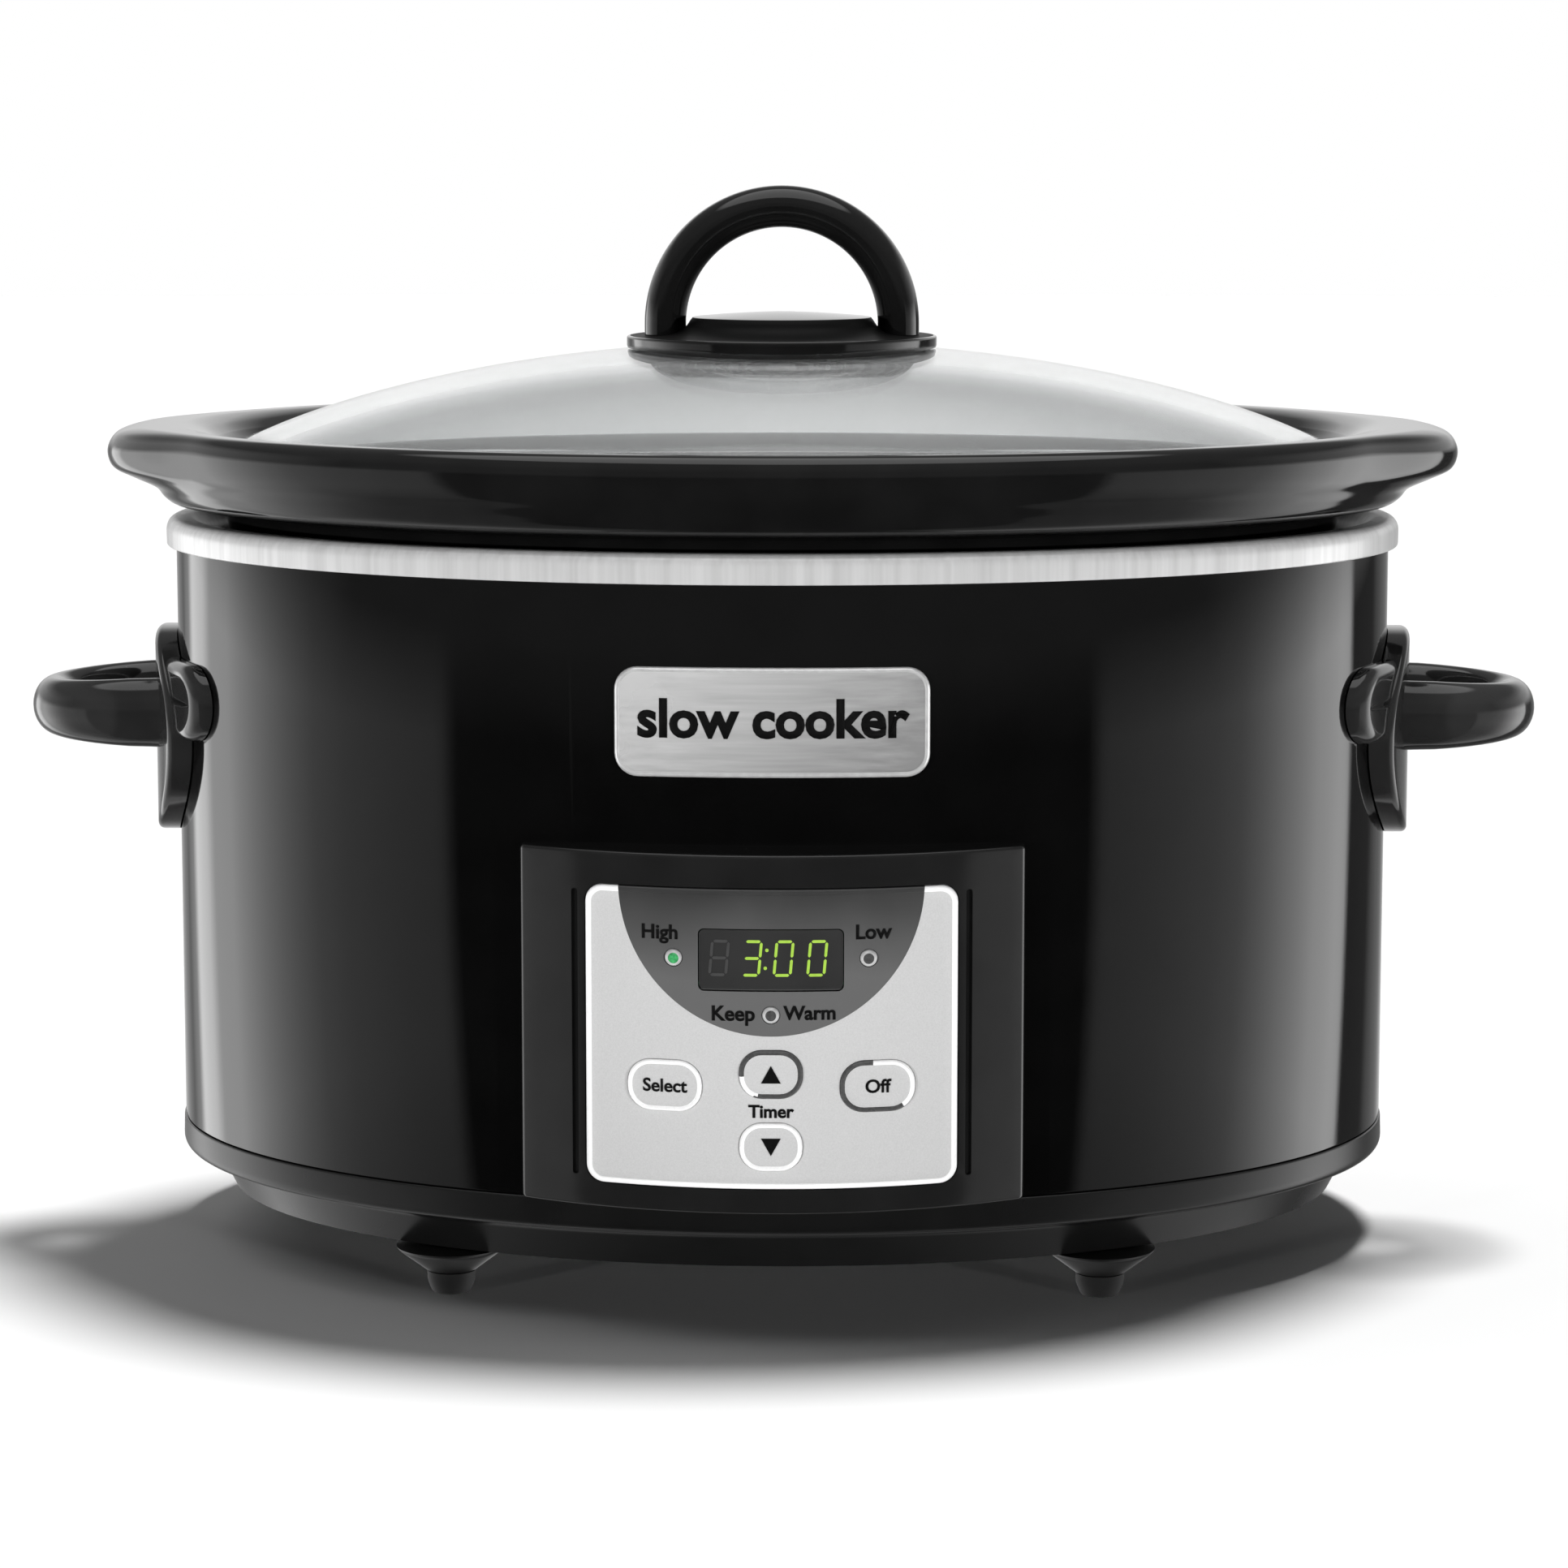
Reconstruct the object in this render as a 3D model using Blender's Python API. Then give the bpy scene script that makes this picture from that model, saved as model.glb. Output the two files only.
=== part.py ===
"""An oval countdown slow cooker of about five and a half litres.

Frame: metres, +Z up, +X to the right of someone facing the control panel, which faces -Y.
The origin is on the table under the middle of the whole object's box. Everything is laid out
about the oval's own axis, which stands OVAL_Y behind the origin, because the control panel
reaches further forward than anything reaches back.
"""

import math

import bmesh
import bpy

# The oval: half width and half depth of the painted wall. An offset is a distance outside it.
OVAL_A = 0.168
OVAL_B = 0.128
OVAL_Y = 0.0034
OVAL_STEPS = 48
GAP = 0.0003

# Heights of the outer casing
FEET_TOP = 0.0127
BASE_BOTTOM = 0.0130
BASE_FLOOR = 0.0155
BASE_STEP = 0.0236
BASE_TOP = 0.0325
SHELL_TOP = 0.1960
SHELL_WALL = 0.0010
RIM_BOTTOM = 0.1922
RIM_TOP = 0.2000

# The heating liner hangs inside the wall and tapers from its rim to its floor
LINER_WALL = 0.0012
LINER_FLOOR = 0.0690
LINER_OUTER_TOP = (-0.0068, 0.1960)
LINER_OUTER_LOW = (-0.0248, 0.0740)

# The crock
CROCK_BOTTOM = LINER_FLOOR + 0.0005
CROCK_FLOOR = 0.0780
FLANGE_BOTTOM = 0.2040
LIP_TOP = 0.2250
LID_LEDGE = 0.2143
EAR_REACH = 0.0107
EAR_FLAT = 0.12
EAR_SPREAD = 0.46

# The glass dome: edge half axes, crown height, and the share of a half ellipse that it spans
LID_A = 0.1530
LID_B = 0.1130
LID_CROWN = 0.2473
LID_SPAN = 0.765
LID_RISE = 0.0798
GLASS = 0.0040

# The lid's handle
KNOB_RING = 0.0429
KNOB_RING_TOP = 0.2492
KNOB_SLOPE = ((0.0380, 0.2494), (0.0300, 0.2508), (0.0254, 0.2533))
KNOB_DISC = ((0.0244, 0.2541), (0.0130, 0.2552), (0.0060, 0.2556))
KNOB_BORE = 0.0024
WASHER_LOW = 0.2384
SCREW_SEAT = 0.2411
ARCH_CENTRE_Z = 0.2523
ARCH_RADIUS = 0.03225
ARCH_HALF_THICK = 0.00575
ARCH_HALF_DEEP = 0.0070

# The two side handles
HANDLE_Z = 0.1463
HANDLE_PLATE_Z = 0.1399
HANDLE_PLATE_HALF = (0.040, 0.0286)
HANDLE_PLATE_PROUD = 0.0060
HANDLE_BOSS_SIZE = (0.110, 0.0208)
HANDLE_BOSS_Z = 0.1516
HANDLE_BOSS_PROUD = 0.0044
LOOP_ROOT = 0.1640
LOOP_TIP = 0.2037
LOOP_HALF_WIDE = 0.0228
LOOP_ROUND = 0.0240
LOOP_HALF_HIGH = (0.0098, 0.0078)
LOOP_HALF_THICK = (0.0064, 0.0060)
HANDLE_SCREW_Y = 0.0310

# The control housing has a bowed front, an arc about PANEL_AXIS_Y
PANEL_RADIUS = 0.1210
PANEL_FRONT = 0.1417
PANEL_AXIS_Y = PANEL_RADIUS - PANEL_FRONT
HOUSING_HALF = 0.0645
HOUSING_LOW = 0.0330
HOUSING_HIGH = 0.1252
HOUSING_WALL = 0.0024
PANEL_OPENING = (0.0840, 0.0720)
SHELL_WINDOW = (0.1000, 0.0720)
FASCIA_HALF = 0.0473
FASCIA_LOW = 0.0396
FASCIA_HIGH = 0.1166
FASCIA_CORNER = 0.0045
FASCIA_THICK = 0.0020
FASCIA_PROUD = 0.0006
WINDOW_SIZE = (0.0369, 0.0160)
WINDOW_Z = 0.0985
LED_PLACES = {"high": (-0.0247, 0.0988), "low": (0.0247, 0.0988), "keep_warm": (0.0, 0.0845)}
LED_RADIUS = 0.0022
WIDE_KEY = (0.0190, 0.0132)
SMALL_KEY = (0.0160, 0.0124)
KEYS = {
    "select": ((-0.0270, 0.0659), WIDE_KEY),
    "off": ((0.0270, 0.0659), WIDE_KEY),
    "up": ((0.0, 0.0693), SMALL_KEY),
    "down": ((0.0, 0.0506), SMALL_KEY),
}
KEY_THICK = 0.0026
KEY_PROUD = 0.0010
KEY_GAP = 0.0004
KEY_STEM_END = -0.1346
SLOT_X = 0.0502
SLOT_SIZE = (0.0016, 0.0740)
BOARD_FRONT = -0.1285
BOARD_THICK = 0.0016
PANEL_MID_Z = (FASCIA_LOW + FASCIA_HIGH) / 2
SIDES = (("left", -1), ("right", 1))

# The badge, feet and base fittings
BADGE_SIZE = (0.0802, 0.0281)
BADGE_Z = 0.1572
BADGE_CORNER = 0.0060
BADGE_THICK = 0.0012
FOOT_X = 0.0860
FOOT_Y = 0.0900
BASE_SCREW_X = 0.1000
STRAP_Z = 0.0640
POWER_BOARD_Z = 0.0240
GLAND_Z = 0.0500

SILVER = (0.62, 0.62, 0.62, 1)
BLACK = (0.006, 0.006, 0.006, 1)
FINISHES = {
    "painted_wall": (BLACK, 0.12, 0.0),
    "brushed_rim": ((0.78, 0.78, 0.77, 1), 0.32, 1.0),
    "black_glaze": ((0.008, 0.008, 0.009, 1), 0.08, 0.0),
    "clear_glass": ((0.85, 0.88, 0.88, 1), 0.03, 0.0),
    "gloss_black": (BLACK, 0.10, 0.0),
    "satin_black": ((0.012, 0.012, 0.012, 1), 0.35, 0.0),
    "silver_fascia": (SILVER, 0.35, 0.0),
    "badge_metal": ((0.30, 0.30, 0.30, 1), 0.30, 1.0),
    "smoked_window": ((0.015, 0.015, 0.015, 1), 0.10, 0.0),
    "green_lens": ((0.10, 0.55, 0.20, 1), 0.15, 0.0),
    "clear_lens": ((0.60, 0.62, 0.62, 1), 0.15, 0.0),
    "black_rubber": ((0.010, 0.010, 0.010, 1), 0.70, 0.0),
    "zinc_steel": ((0.60, 0.60, 0.58, 1), 0.35, 1.0),
    "green_board": ((0.02, 0.13, 0.05, 1), 0.45, 0.0),
    "black_component": ((0.02, 0.02, 0.022, 1), 0.50, 0.0),
    "mica_band": ((0.42, 0.36, 0.24, 1), 0.60, 0.0),
}


# Making objects

def clear_scene():
    for obj in list(bpy.data.objects):
        bpy.data.objects.remove(obj, do_unlink=True)


def finish_of(name):
    """The material of this name, made the first time it is asked for."""
    if name in bpy.data.materials:
        return bpy.data.materials[name]
    colour, roughness, metallic = FINISHES[name]
    material = bpy.data.materials.new(name)
    material.use_nodes = True
    shader = material.node_tree.nodes["Principled BSDF"]
    shader.inputs["Base Color"].default_value = colour
    shader.inputs["Roughness"].default_value = roughness
    shader.inputs["Metallic"].default_value = metallic
    return material


def oval_axis():
    """The empty that everything stands on: the oval's axis at table height."""
    empty = bpy.data.objects.get("oval_axis")
    if empty is None:
        empty = bpy.data.objects.new("oval_axis", None)
        empty.location = (0, OVAL_Y, 0)
        bpy.context.collection.objects.link(empty)
    return empty


def solid(name, points, faces, finish, place=(0, 0, 0)):
    """An object from points given about the oval's axis, with its own origin at place."""
    mesh = bpy.data.meshes.new(name)
    local = [tuple(c - o for c, o in zip(point, place)) for point in points]
    mesh.from_pydata(local, [], faces)
    work = bmesh.new()
    work.from_mesh(mesh)
    bmesh.ops.remove_doubles(work, verts=work.verts, dist=1e-6)
    bmesh.ops.recalc_face_normals(work, faces=work.faces)
    work.to_mesh(mesh)
    work.free()
    mesh.shade_smooth()
    mesh.set_sharp_from_angle(angle=math.radians(35))
    mesh.materials.append(finish_of(finish))
    obj = bpy.data.objects.new(name, mesh)
    obj.parent = oval_axis()
    obj.location = place
    bpy.context.collection.objects.link(obj)
    return obj


def loft(name, rings, finish, closed=False, place=(0, 0, 0)):
    """A skin over rings of equally many points. Its ends are capped, or joined when closed."""
    count = len(rings[0])
    points = [point for ring in rings for point in ring]
    pairs = list(zip(range(len(rings)), range(1, len(rings))))
    if closed:
        pairs.append((len(rings) - 1, 0))
    faces = []
    for low, high in pairs:
        for i in range(count):
            j = (i + 1) % count
            faces.append((low * count + i, low * count + j, high * count + j, high * count + i))
    if not closed:
        faces.append(tuple(range(count)))
        faces.append(tuple(range((len(rings) - 1) * count, len(rings) * count)))
    return solid(name, points, faces, finish, place)


def oval_ring(a, b, z, steps=OVAL_STEPS):
    turns = (2 * math.pi * i / steps for i in range(steps))
    return [(a * math.cos(t), b * math.sin(t), z) for t in turns]


def offset_rings(profile, steps=OVAL_STEPS):
    """Rings from (offset, height) pairs: an oval outside or inside the painted wall."""
    return [oval_ring(OVAL_A + offset, OVAL_B + offset, z, steps) for offset, z in profile]


def turned(name, profile, finish, centre=(0, 0), steps=16):
    """A round piece from (radius, height) pairs, standing on its own centre."""
    x, y = centre
    rings = [[(x + px, y + py, pz) for px, py, pz in oval_ring(r, r, z, steps)] for r, z in profile]
    return loft(name, rings, finish, place=(x, y, 0))


def rounded_outline(centre, size, corner, corner_steps=4):
    """Points around a rectangle with round corners, in the plane of the first two numbers."""
    half_w = size[0] / 2 - corner
    half_h = size[1] / 2 - corner
    points = []
    for quarter, (sx, sy) in enumerate(((1, 1), (-1, 1), (-1, -1), (1, -1))):
        for i in range(corner_steps + 1):
            turn = math.pi / 2 * (quarter + i / corner_steps)
            points.append((
                centre[0] + sx * half_w + corner * math.cos(turn),
                centre[1] + sy * half_h + corner * math.sin(turn),
            ))
    return points


def prism_y(name, outline, front, back, finish, place=(0, 0, 0)):
    """An outline in X and Z, drawn out along Y from front to back."""
    rings = [[(x, y, z) for x, z in outline] for y in (front, back)]
    return loft(name, rings, finish, place=place)


def prism_x(name, outline, near, far, finish):
    """An outline in Y and Z, drawn out along X."""
    return loft(name, [[(x, y, z) for y, z in outline] for x in (near, far)], finish)


def block(name, low, high, finish):
    outline = [(low[0], low[2]), (high[0], low[2]), (high[0], high[2]), (low[0], high[2])]
    return prism_y(name, outline, low[1], high[1], finish)


def rod_y(name, centre, radius, front, back, finish, steps=16):
    """A round rod along Y, its centre given in X and Z."""
    turns = [2 * math.pi * i / steps for i in range(steps)]
    outline = [(centre[0] + radius * math.cos(t), centre[1] + radius * math.sin(t)) for t in turns]
    return prism_y(name, outline, front, back, finish)


def rod_x(name, centre, radius, near, far, finish, steps=12):
    turns = [2 * math.pi * i / steps for i in range(steps)]
    outline = [(centre[0] + radius * math.cos(t), centre[1] + radius * math.sin(t)) for t in turns]
    return prism_x(name, outline, near, far, finish)


def combine(obj, other, operation):
    """Joins, cuts or keeps the overlap with a helper, which is left out of the object itself."""
    other.hide_render = True
    other.display_type = "WIRE"
    modifier = obj.modifiers.new(other.name, "BOOLEAN")
    modifier.operation = operation
    modifier.object = other
    modifier.solver = "EXACT"
    return obj


def cut(obj, *others):
    for other in others:
        combine(obj, other, "DIFFERENCE")
    return obj


def join(obj, *others):
    for other in others:
        combine(obj, other, "UNION")
    return obj


# The curved faces that several pieces share

def panel_y(x, proud=0.0):
    """Y of the bowed panel face at x, moved outwards by proud."""
    radius = PANEL_RADIUS + proud
    return PANEL_AXIS_Y - math.sqrt(radius * radius - x * x)


def wall_y(x, offset=0.0):
    """Y of the front of the oval at x, at this offset outside the painted wall."""
    return -(OVAL_B + offset) * math.sqrt(1 - (x / (OVAL_A + offset)) ** 2)


def wall_x(y, offset=0.0):
    """X of the right end of the oval at y."""
    return (OVAL_A + offset) * math.sqrt(1 - (y / (OVAL_B + offset)) ** 2)


def dome_z(x, y):
    """Height of the glass dome's upper face."""
    share = min(1.0, (x / LID_A) ** 2 + (y / LID_B) ** 2)
    return LID_CROWN - LID_RISE * (1 - math.sqrt(1 - LID_SPAN ** 2 * share))


def bowed_slab(name, half, low, high, front, back, finish, columns=20):
    """A slab upright in Z whose faces follow front(x) and back(x)."""
    across = [half * (2 * i / columns - 1) for i in range(columns + 1)]
    outline = [(x, front(x)) for x in across] + [(x, back(x)) for x in reversed(across)]
    return loft(name, [[(x, y, z) for x, y in outline] for z in (low, high)], finish)


def end_slab(name, side, half, low, high, inner, outer, finish, columns=14):
    """A slab wrapped on the left or right end of the oval, between two offsets."""
    across = [half * (2 * i / columns - 1) for i in range(columns + 1)]
    outline = [(side * wall_x(y, outer), y) for y in across]
    outline += [(side * wall_x(y, inner), y) for y in reversed(across)]
    return loft(name, [[(x, y, z) for x, y in outline] for z in (low, high)], finish)


# Casing

def make_outer_shell():
    foot = BASE_TOP + GAP
    profile = [(0, foot), (0, SHELL_TOP), (-SHELL_WALL, SHELL_TOP), (-SHELL_WALL, foot)]
    shell = loft("outer_shell", offset_rings(profile), "painted_wall", closed=True)
    window = rounded_outline((0, PANEL_MID_Z), SHELL_WINDOW, 0.006)
    cut(shell, prism_y("shell_window", window, -0.150, -0.090, "painted_wall"))
    cut(shell, rod_y("gland_hole", (0, GLAND_Z), 0.0080, 0.110, 0.140, "painted_wall"))
    for label, side in SIDES:
        for end, y in (("front", -HANDLE_SCREW_Y), ("rear", HANDLE_SCREW_Y)):
            ends = (side * 0.140, side * 0.175)
            cut(shell, rod_x(f"shell_hole_{label}_{end}", (y, HANDLE_Z), 0.0024, *ends, "painted_wall"))


def make_heating_liner():
    outer_top, outer_low = LINER_OUTER_TOP, LINER_OUTER_LOW
    profile = [
        (-0.0345, LINER_FLOOR - LINER_WALL), outer_low, outer_top, (-0.0040, RIM_TOP - LINER_WALL),
        (0.0004, RIM_TOP - LINER_WALL), (0.0014, 0.1972), (0.0014, RIM_BOTTOM), (0.0026, RIM_BOTTOM),
        (0.0027, 0.1976), (0.0012, RIM_TOP), (-0.0048, RIM_TOP),
        (outer_top[0] - LINER_WALL, outer_top[1]), (outer_low[0] - LINER_WALL, outer_low[1]),
        (-0.0350, LINER_FLOOR),
    ]
    loft("heating_liner", offset_rings(profile), "brushed_rim")


def make_base_tray():
    profile = [
        (-0.0135, BASE_BOTTOM), (-0.0088, 0.0222), (-0.0060, BASE_STEP), (-0.0008, BASE_STEP + 0.0004),
        (0.0006, 0.0256), (0.0004, BASE_TOP), (-0.0014, BASE_TOP), (-0.0014, 0.0372),
        (-0.0034, 0.0372), (-0.0034, 0.0266), (-0.0095, 0.0245), (-0.0155, BASE_FLOOR),
    ]
    tray = loft("base_tray", offset_rings(profile), "satin_black")
    for label, side in SIDES:
        hole = [(0.0026, 0.005), (0.0026, 0.030)]
        cut(tray, turned(f"base_hole_{label}", hole, "satin_black", (side * BASE_SCREW_X, 0), 16))


def make_feet():
    for end, y in (("front", -FOOT_Y), ("rear", FOOT_Y)):
        for label, side in SIDES:
            centre = (side * FOOT_X, y)
            cone = [(0.0066, 0.0062), (0.0140, 0.0118), (0.0145, FEET_TOP)]
            turned(f"foot_{end}_{label}", cone, "satin_black", centre)
            pad = [(0.0038, 0.0), (0.0057, 0.0018), (0.0064, 0.0059)]
            turned(f"foot_pad_{end}_{label}", pad, "black_rubber", centre)


def make_badge():
    badge = bowed_slab(
        "badge", BADGE_SIZE[0] / 2 + 0.002, BADGE_Z - 0.02, BADGE_Z + 0.02,
        lambda x: wall_y(x, BADGE_THICK + GAP), lambda x: wall_y(x, GAP), "badge_metal",
    )
    outline = rounded_outline((0, BADGE_Z), BADGE_SIZE, BADGE_CORNER)
    combine(badge, prism_y("badge_outline", outline, -0.150, -0.100, "badge_metal"), "INTERSECT")


# Crock and lid

def ear_bulge(turn):
    """How far the lip is drawn out into an ear at this turn: 1 at either end, 0 along the sides."""
    away = (abs(math.sin(turn)) - EAR_FLAT) / (EAR_SPREAD - EAR_FLAT)
    return (1 + math.cos(math.pi * min(max(away, 0), 1))) / 2


def crock_ring(offset, z, ear):
    ring = []
    for i in range(OVAL_STEPS):
        turn = 2 * math.pi * i / OVAL_STEPS
        reach = OVAL_A + offset + EAR_REACH * ear * ear_bulge(turn)
        ring.append((reach * math.cos(turn), (OVAL_B + offset) * math.sin(turn), z))
    return ring


def make_crock():
    outside = [
        (-0.0460, CROCK_BOTTOM, 0), (-0.0335, 0.0850, 0), (-0.0150, 0.1960, 0),
        (-0.0125, 0.2030, 0), (0.0008, FLANGE_BOTTOM, 0), (0.0044, 0.2085, 0.10),
        (0.0060, 0.2112, 0.78), (0.0074, 0.2155, 1.03), (0.0078, 0.2205, 0.95),
        (0.0058, 0.2238, 0.66), (0.0024, LIP_TOP, 0.30),
    ]
    inside = [
        (-0.0030, 0.2246, 0), (-0.0120, 0.2200, 0), (-0.0138, LID_LEDGE, 0),
        (-0.0186, LID_LEDGE - 0.0005, 0), (-0.0222, 0.2070, 0), (-0.0400, 0.0940, 0),
        (-0.0450, 0.0825, 0), (-0.0560, CROCK_FLOOR, 0),
    ]
    loft("crock", [crock_ring(*point) for point in outside + inside], "black_glaze")


def dome_ring(share, drop):
    """A ring of the dome at this share of the way from crown to edge, this far below its upper face."""
    turns = [2 * math.pi * i / OVAL_STEPS for i in range(OVAL_STEPS)]
    flat = [(share * LID_A * math.cos(t), share * LID_B * math.sin(t)) for t in turns]
    return [(x, y, dome_z(x, y) - drop) for x, y in flat]


def make_lid_glass():
    hole = 0.05
    shares = (hole, 0.3, 0.6, 0.82, 0.97)
    rings = [dome_ring(share, 0) for share in shares]
    rings += [dome_ring(0.994, 0.0012), dome_ring(0.990, 0.0032)]
    rings += [dome_ring(share, GLASS) for share in reversed(shares)]
    loft("lid_glass", rings, "clear_glass", closed=True)


def knob_ring(radius, z=None, lift=0.0, steps=28):
    """A round ring at height z or, with none given, lift above the glass all the way round."""
    ring = []
    for i in range(steps):
        turn = 2 * math.pi * i / steps
        x, y = radius * math.cos(turn), radius * math.sin(turn)
        ring.append((x, y, dome_z(x, y) + lift if z is None else z))
    return ring


def leg_ring(side, sides):
    """The foot of one leg of the arch, sunk into the base."""
    ring = []
    for i in range(sides):
        a = 2 * math.pi * i / sides
        x = side * (ARCH_RADIUS + ARCH_HALF_THICK * math.cos(a))
        ring.append((x, ARCH_HALF_DEEP * math.sin(a), KNOB_RING_TOP - 0.0010))
    return ring


def arch_tube(name, finish, stations=16, sides=10):
    """The arch: an upright half ring whose legs run on down into the base."""
    rings = [leg_ring(1, sides)]
    for station in range(stations + 1):
        turn = math.pi * station / stations
        ring = []
        for i in range(sides):
            a = 2 * math.pi * i / sides
            radius = ARCH_RADIUS + ARCH_HALF_THICK * math.cos(a)
            z = ARCH_CENTRE_Z + radius * math.sin(turn)
            ring.append((radius * math.cos(turn), ARCH_HALF_DEEP * math.sin(a), z))
        rings.append(ring)
    rings.append(leg_ring(-1, sides))
    return loft(name, rings, finish)


def make_lid_handle():
    rings = [knob_ring(radius, lift=GAP) for radius in (0.0060, 0.0280, 0.0412)]
    rings += [
        knob_ring(KNOB_RING, lift=0.0016),
        knob_ring(KNOB_RING, KNOB_RING_TOP - 0.0010),
        knob_ring(KNOB_RING - 0.0012, KNOB_RING_TOP),
    ]
    rings += [knob_ring(radius, z) for radius, z in KNOB_SLOPE + KNOB_DISC]
    handle = loft("lid_handle", rings, "gloss_black")
    join(handle, arch_tube("lid_arch", "gloss_black"))
    cut(handle, turned("knob_bore", [(KNOB_BORE, 0.2400), (KNOB_BORE, 0.2530)], "gloss_black"))


def make_lid_washer():
    """The plate under the glass, with a counterbore that takes the screw's head."""
    under = -GLASS - 0.0007
    rings = [
        knob_ring(0.0060, lift=under), knob_ring(0.0350, lift=under), knob_ring(0.0355, lift=under - 0.0009),
        knob_ring(0.0310, WASHER_LOW + 0.0002), knob_ring(0.0060, WASHER_LOW),
    ]
    washer = loft("lid_washer", list(reversed(rings)), "zinc_steel")
    cut(washer, turned("washer_bore", [(0.0025, 0.2350), (0.0025, 0.2480)], "zinc_steel"))
    cut(washer, turned("washer_counterbore", [(0.0050, 0.2350), (0.0050, SCREW_SEAT)], "zinc_steel"))


def make_lid_screw():
    head = SCREW_SEAT - GAP
    profile = [(0.0030, head - 0.0020), (0.0044, head - 0.0014), (0.0045, head), (0.0020, head), (0.0020, 0.2520)]
    turned("lid_screw", profile, "zinc_steel")


# Side handles

def loop_path(side, steps=10):
    """Stations along the loop: the middle line, its normal in plan, and how near the tip it is."""
    straight = LOOP_TIP - LOOP_ROUND
    legs = [(x, -LOOP_HALF_WIDE, 0, -1, tip) for x, tip in ((LOOP_ROOT, 0.0), ((LOOP_ROOT + straight) / 2, 0.1))]
    stations = list(legs)
    for i in range(steps + 1):
        turn = math.pi * (i / steps - 0.5)
        x = straight + LOOP_ROUND * math.cos(turn)
        y = LOOP_HALF_WIDE * math.sin(turn)
        nx, ny = LOOP_HALF_WIDE * math.cos(turn), LOOP_ROUND * math.sin(turn)
        size = math.hypot(nx, ny)
        stations.append((x, y, nx / size, ny / size, 0.2 + 0.8 * math.cos(turn)))
    stations += [(x, -y, nx, -ny, tip) for x, y, nx, ny, tip in reversed(legs)]
    return [(side * x, y, side * nx, ny, tip) for x, y, nx, ny, tip in stations]


def share_of(pair, share):
    """The value this share of the way from the first of a pair to the second."""
    return pair[0] + (pair[1] - pair[0]) * share


def handle_loop(name, side, finish, sides=10):
    rings = []
    for x, y, nx, ny, tip in loop_path(side):
        half_high = share_of(LOOP_HALF_HIGH, tip)
        half_thick = share_of(LOOP_HALF_THICK, tip)
        ring = []
        for i in range(sides):
            a = 2 * math.pi * i / sides
            out = half_thick * math.cos(a)
            ring.append((x + nx * out, y + ny * out, HANDLE_Z + half_high * math.sin(a)))
        rings.append(ring)
    return loft(name, rings, finish)


def oval_outline(centre, half, steps=24):
    turns = [2 * math.pi * i / steps for i in range(steps)]
    return [(centre[0] + half[0] * math.cos(t), centre[1] + half[1] * math.sin(t)) for t in turns]


def make_side_handle(name, side):
    low, high = HANDLE_PLATE_Z - 0.035, HANDLE_PLATE_Z + 0.035
    plate = end_slab(name, side, 0.046, low, high, GAP, HANDLE_PLATE_PROUD, "gloss_black")
    oval = oval_outline((0, HANDLE_PLATE_Z), HANDLE_PLATE_HALF)
    ends = (side * 0.130, side * 0.190)
    combine(plate, prism_x(name + "_oval", oval, *ends, "gloss_black"), "INTERSECT")
    boss = end_slab(name + "_boss", side, 0.060, low, high, GAP, HANDLE_BOSS_PROUD, "gloss_black", 18)
    bar = rounded_outline((0, HANDLE_BOSS_Z), HANDLE_BOSS_SIZE, HANDLE_BOSS_SIZE[1] / 2 - 0.0001)
    combine(boss, prism_x(name + "_bar", bar, *ends, "gloss_black"), "INTERSECT")
    join(plate, boss, trimmed_loop(name, side))
    for end, y in (("front", -HANDLE_SCREW_Y), ("rear", HANDLE_SCREW_Y)):
        reach = wall_x(HANDLE_SCREW_Y) + 0.0042
        cut(plate, rod_x(f"{name}_bore_{end}", (y, HANDLE_Z), 0.0019, side * 0.150, side * reach, "gloss_black"))


def trimmed_loop(name, side):
    """The loop, cut off just inside the plate so that it stays clear of the wall."""
    loop = handle_loop(name + "_loop", side, "gloss_black")
    rings = offset_rings([(0.0012, 0.10), (0.0012, 0.19)])
    return cut(loop, loft(name + "_clearance", rings, "gloss_black"))


def make_handle_screws(label, side):
    for end, y in (("front", -HANDLE_SCREW_Y), ("rear", HANDLE_SCREW_Y)):
        inner = wall_x(y, -SHELL_WALL) - 0.0020
        head_ends = (side * (inner - 0.0020), side * inner)
        head = rod_x(f"handle_screw_{label}_{end}", (y, HANDLE_Z), 0.0032, *head_ends, "zinc_steel")
        shank_ends = (side * (inner - 0.0010), side * (wall_x(y) + 0.0036))
        join(head, rod_x(f"shank_{label}_{end}", (y, HANDLE_Z), 0.0015, *shank_ends, "zinc_steel", 8))


# Control panel

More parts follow.
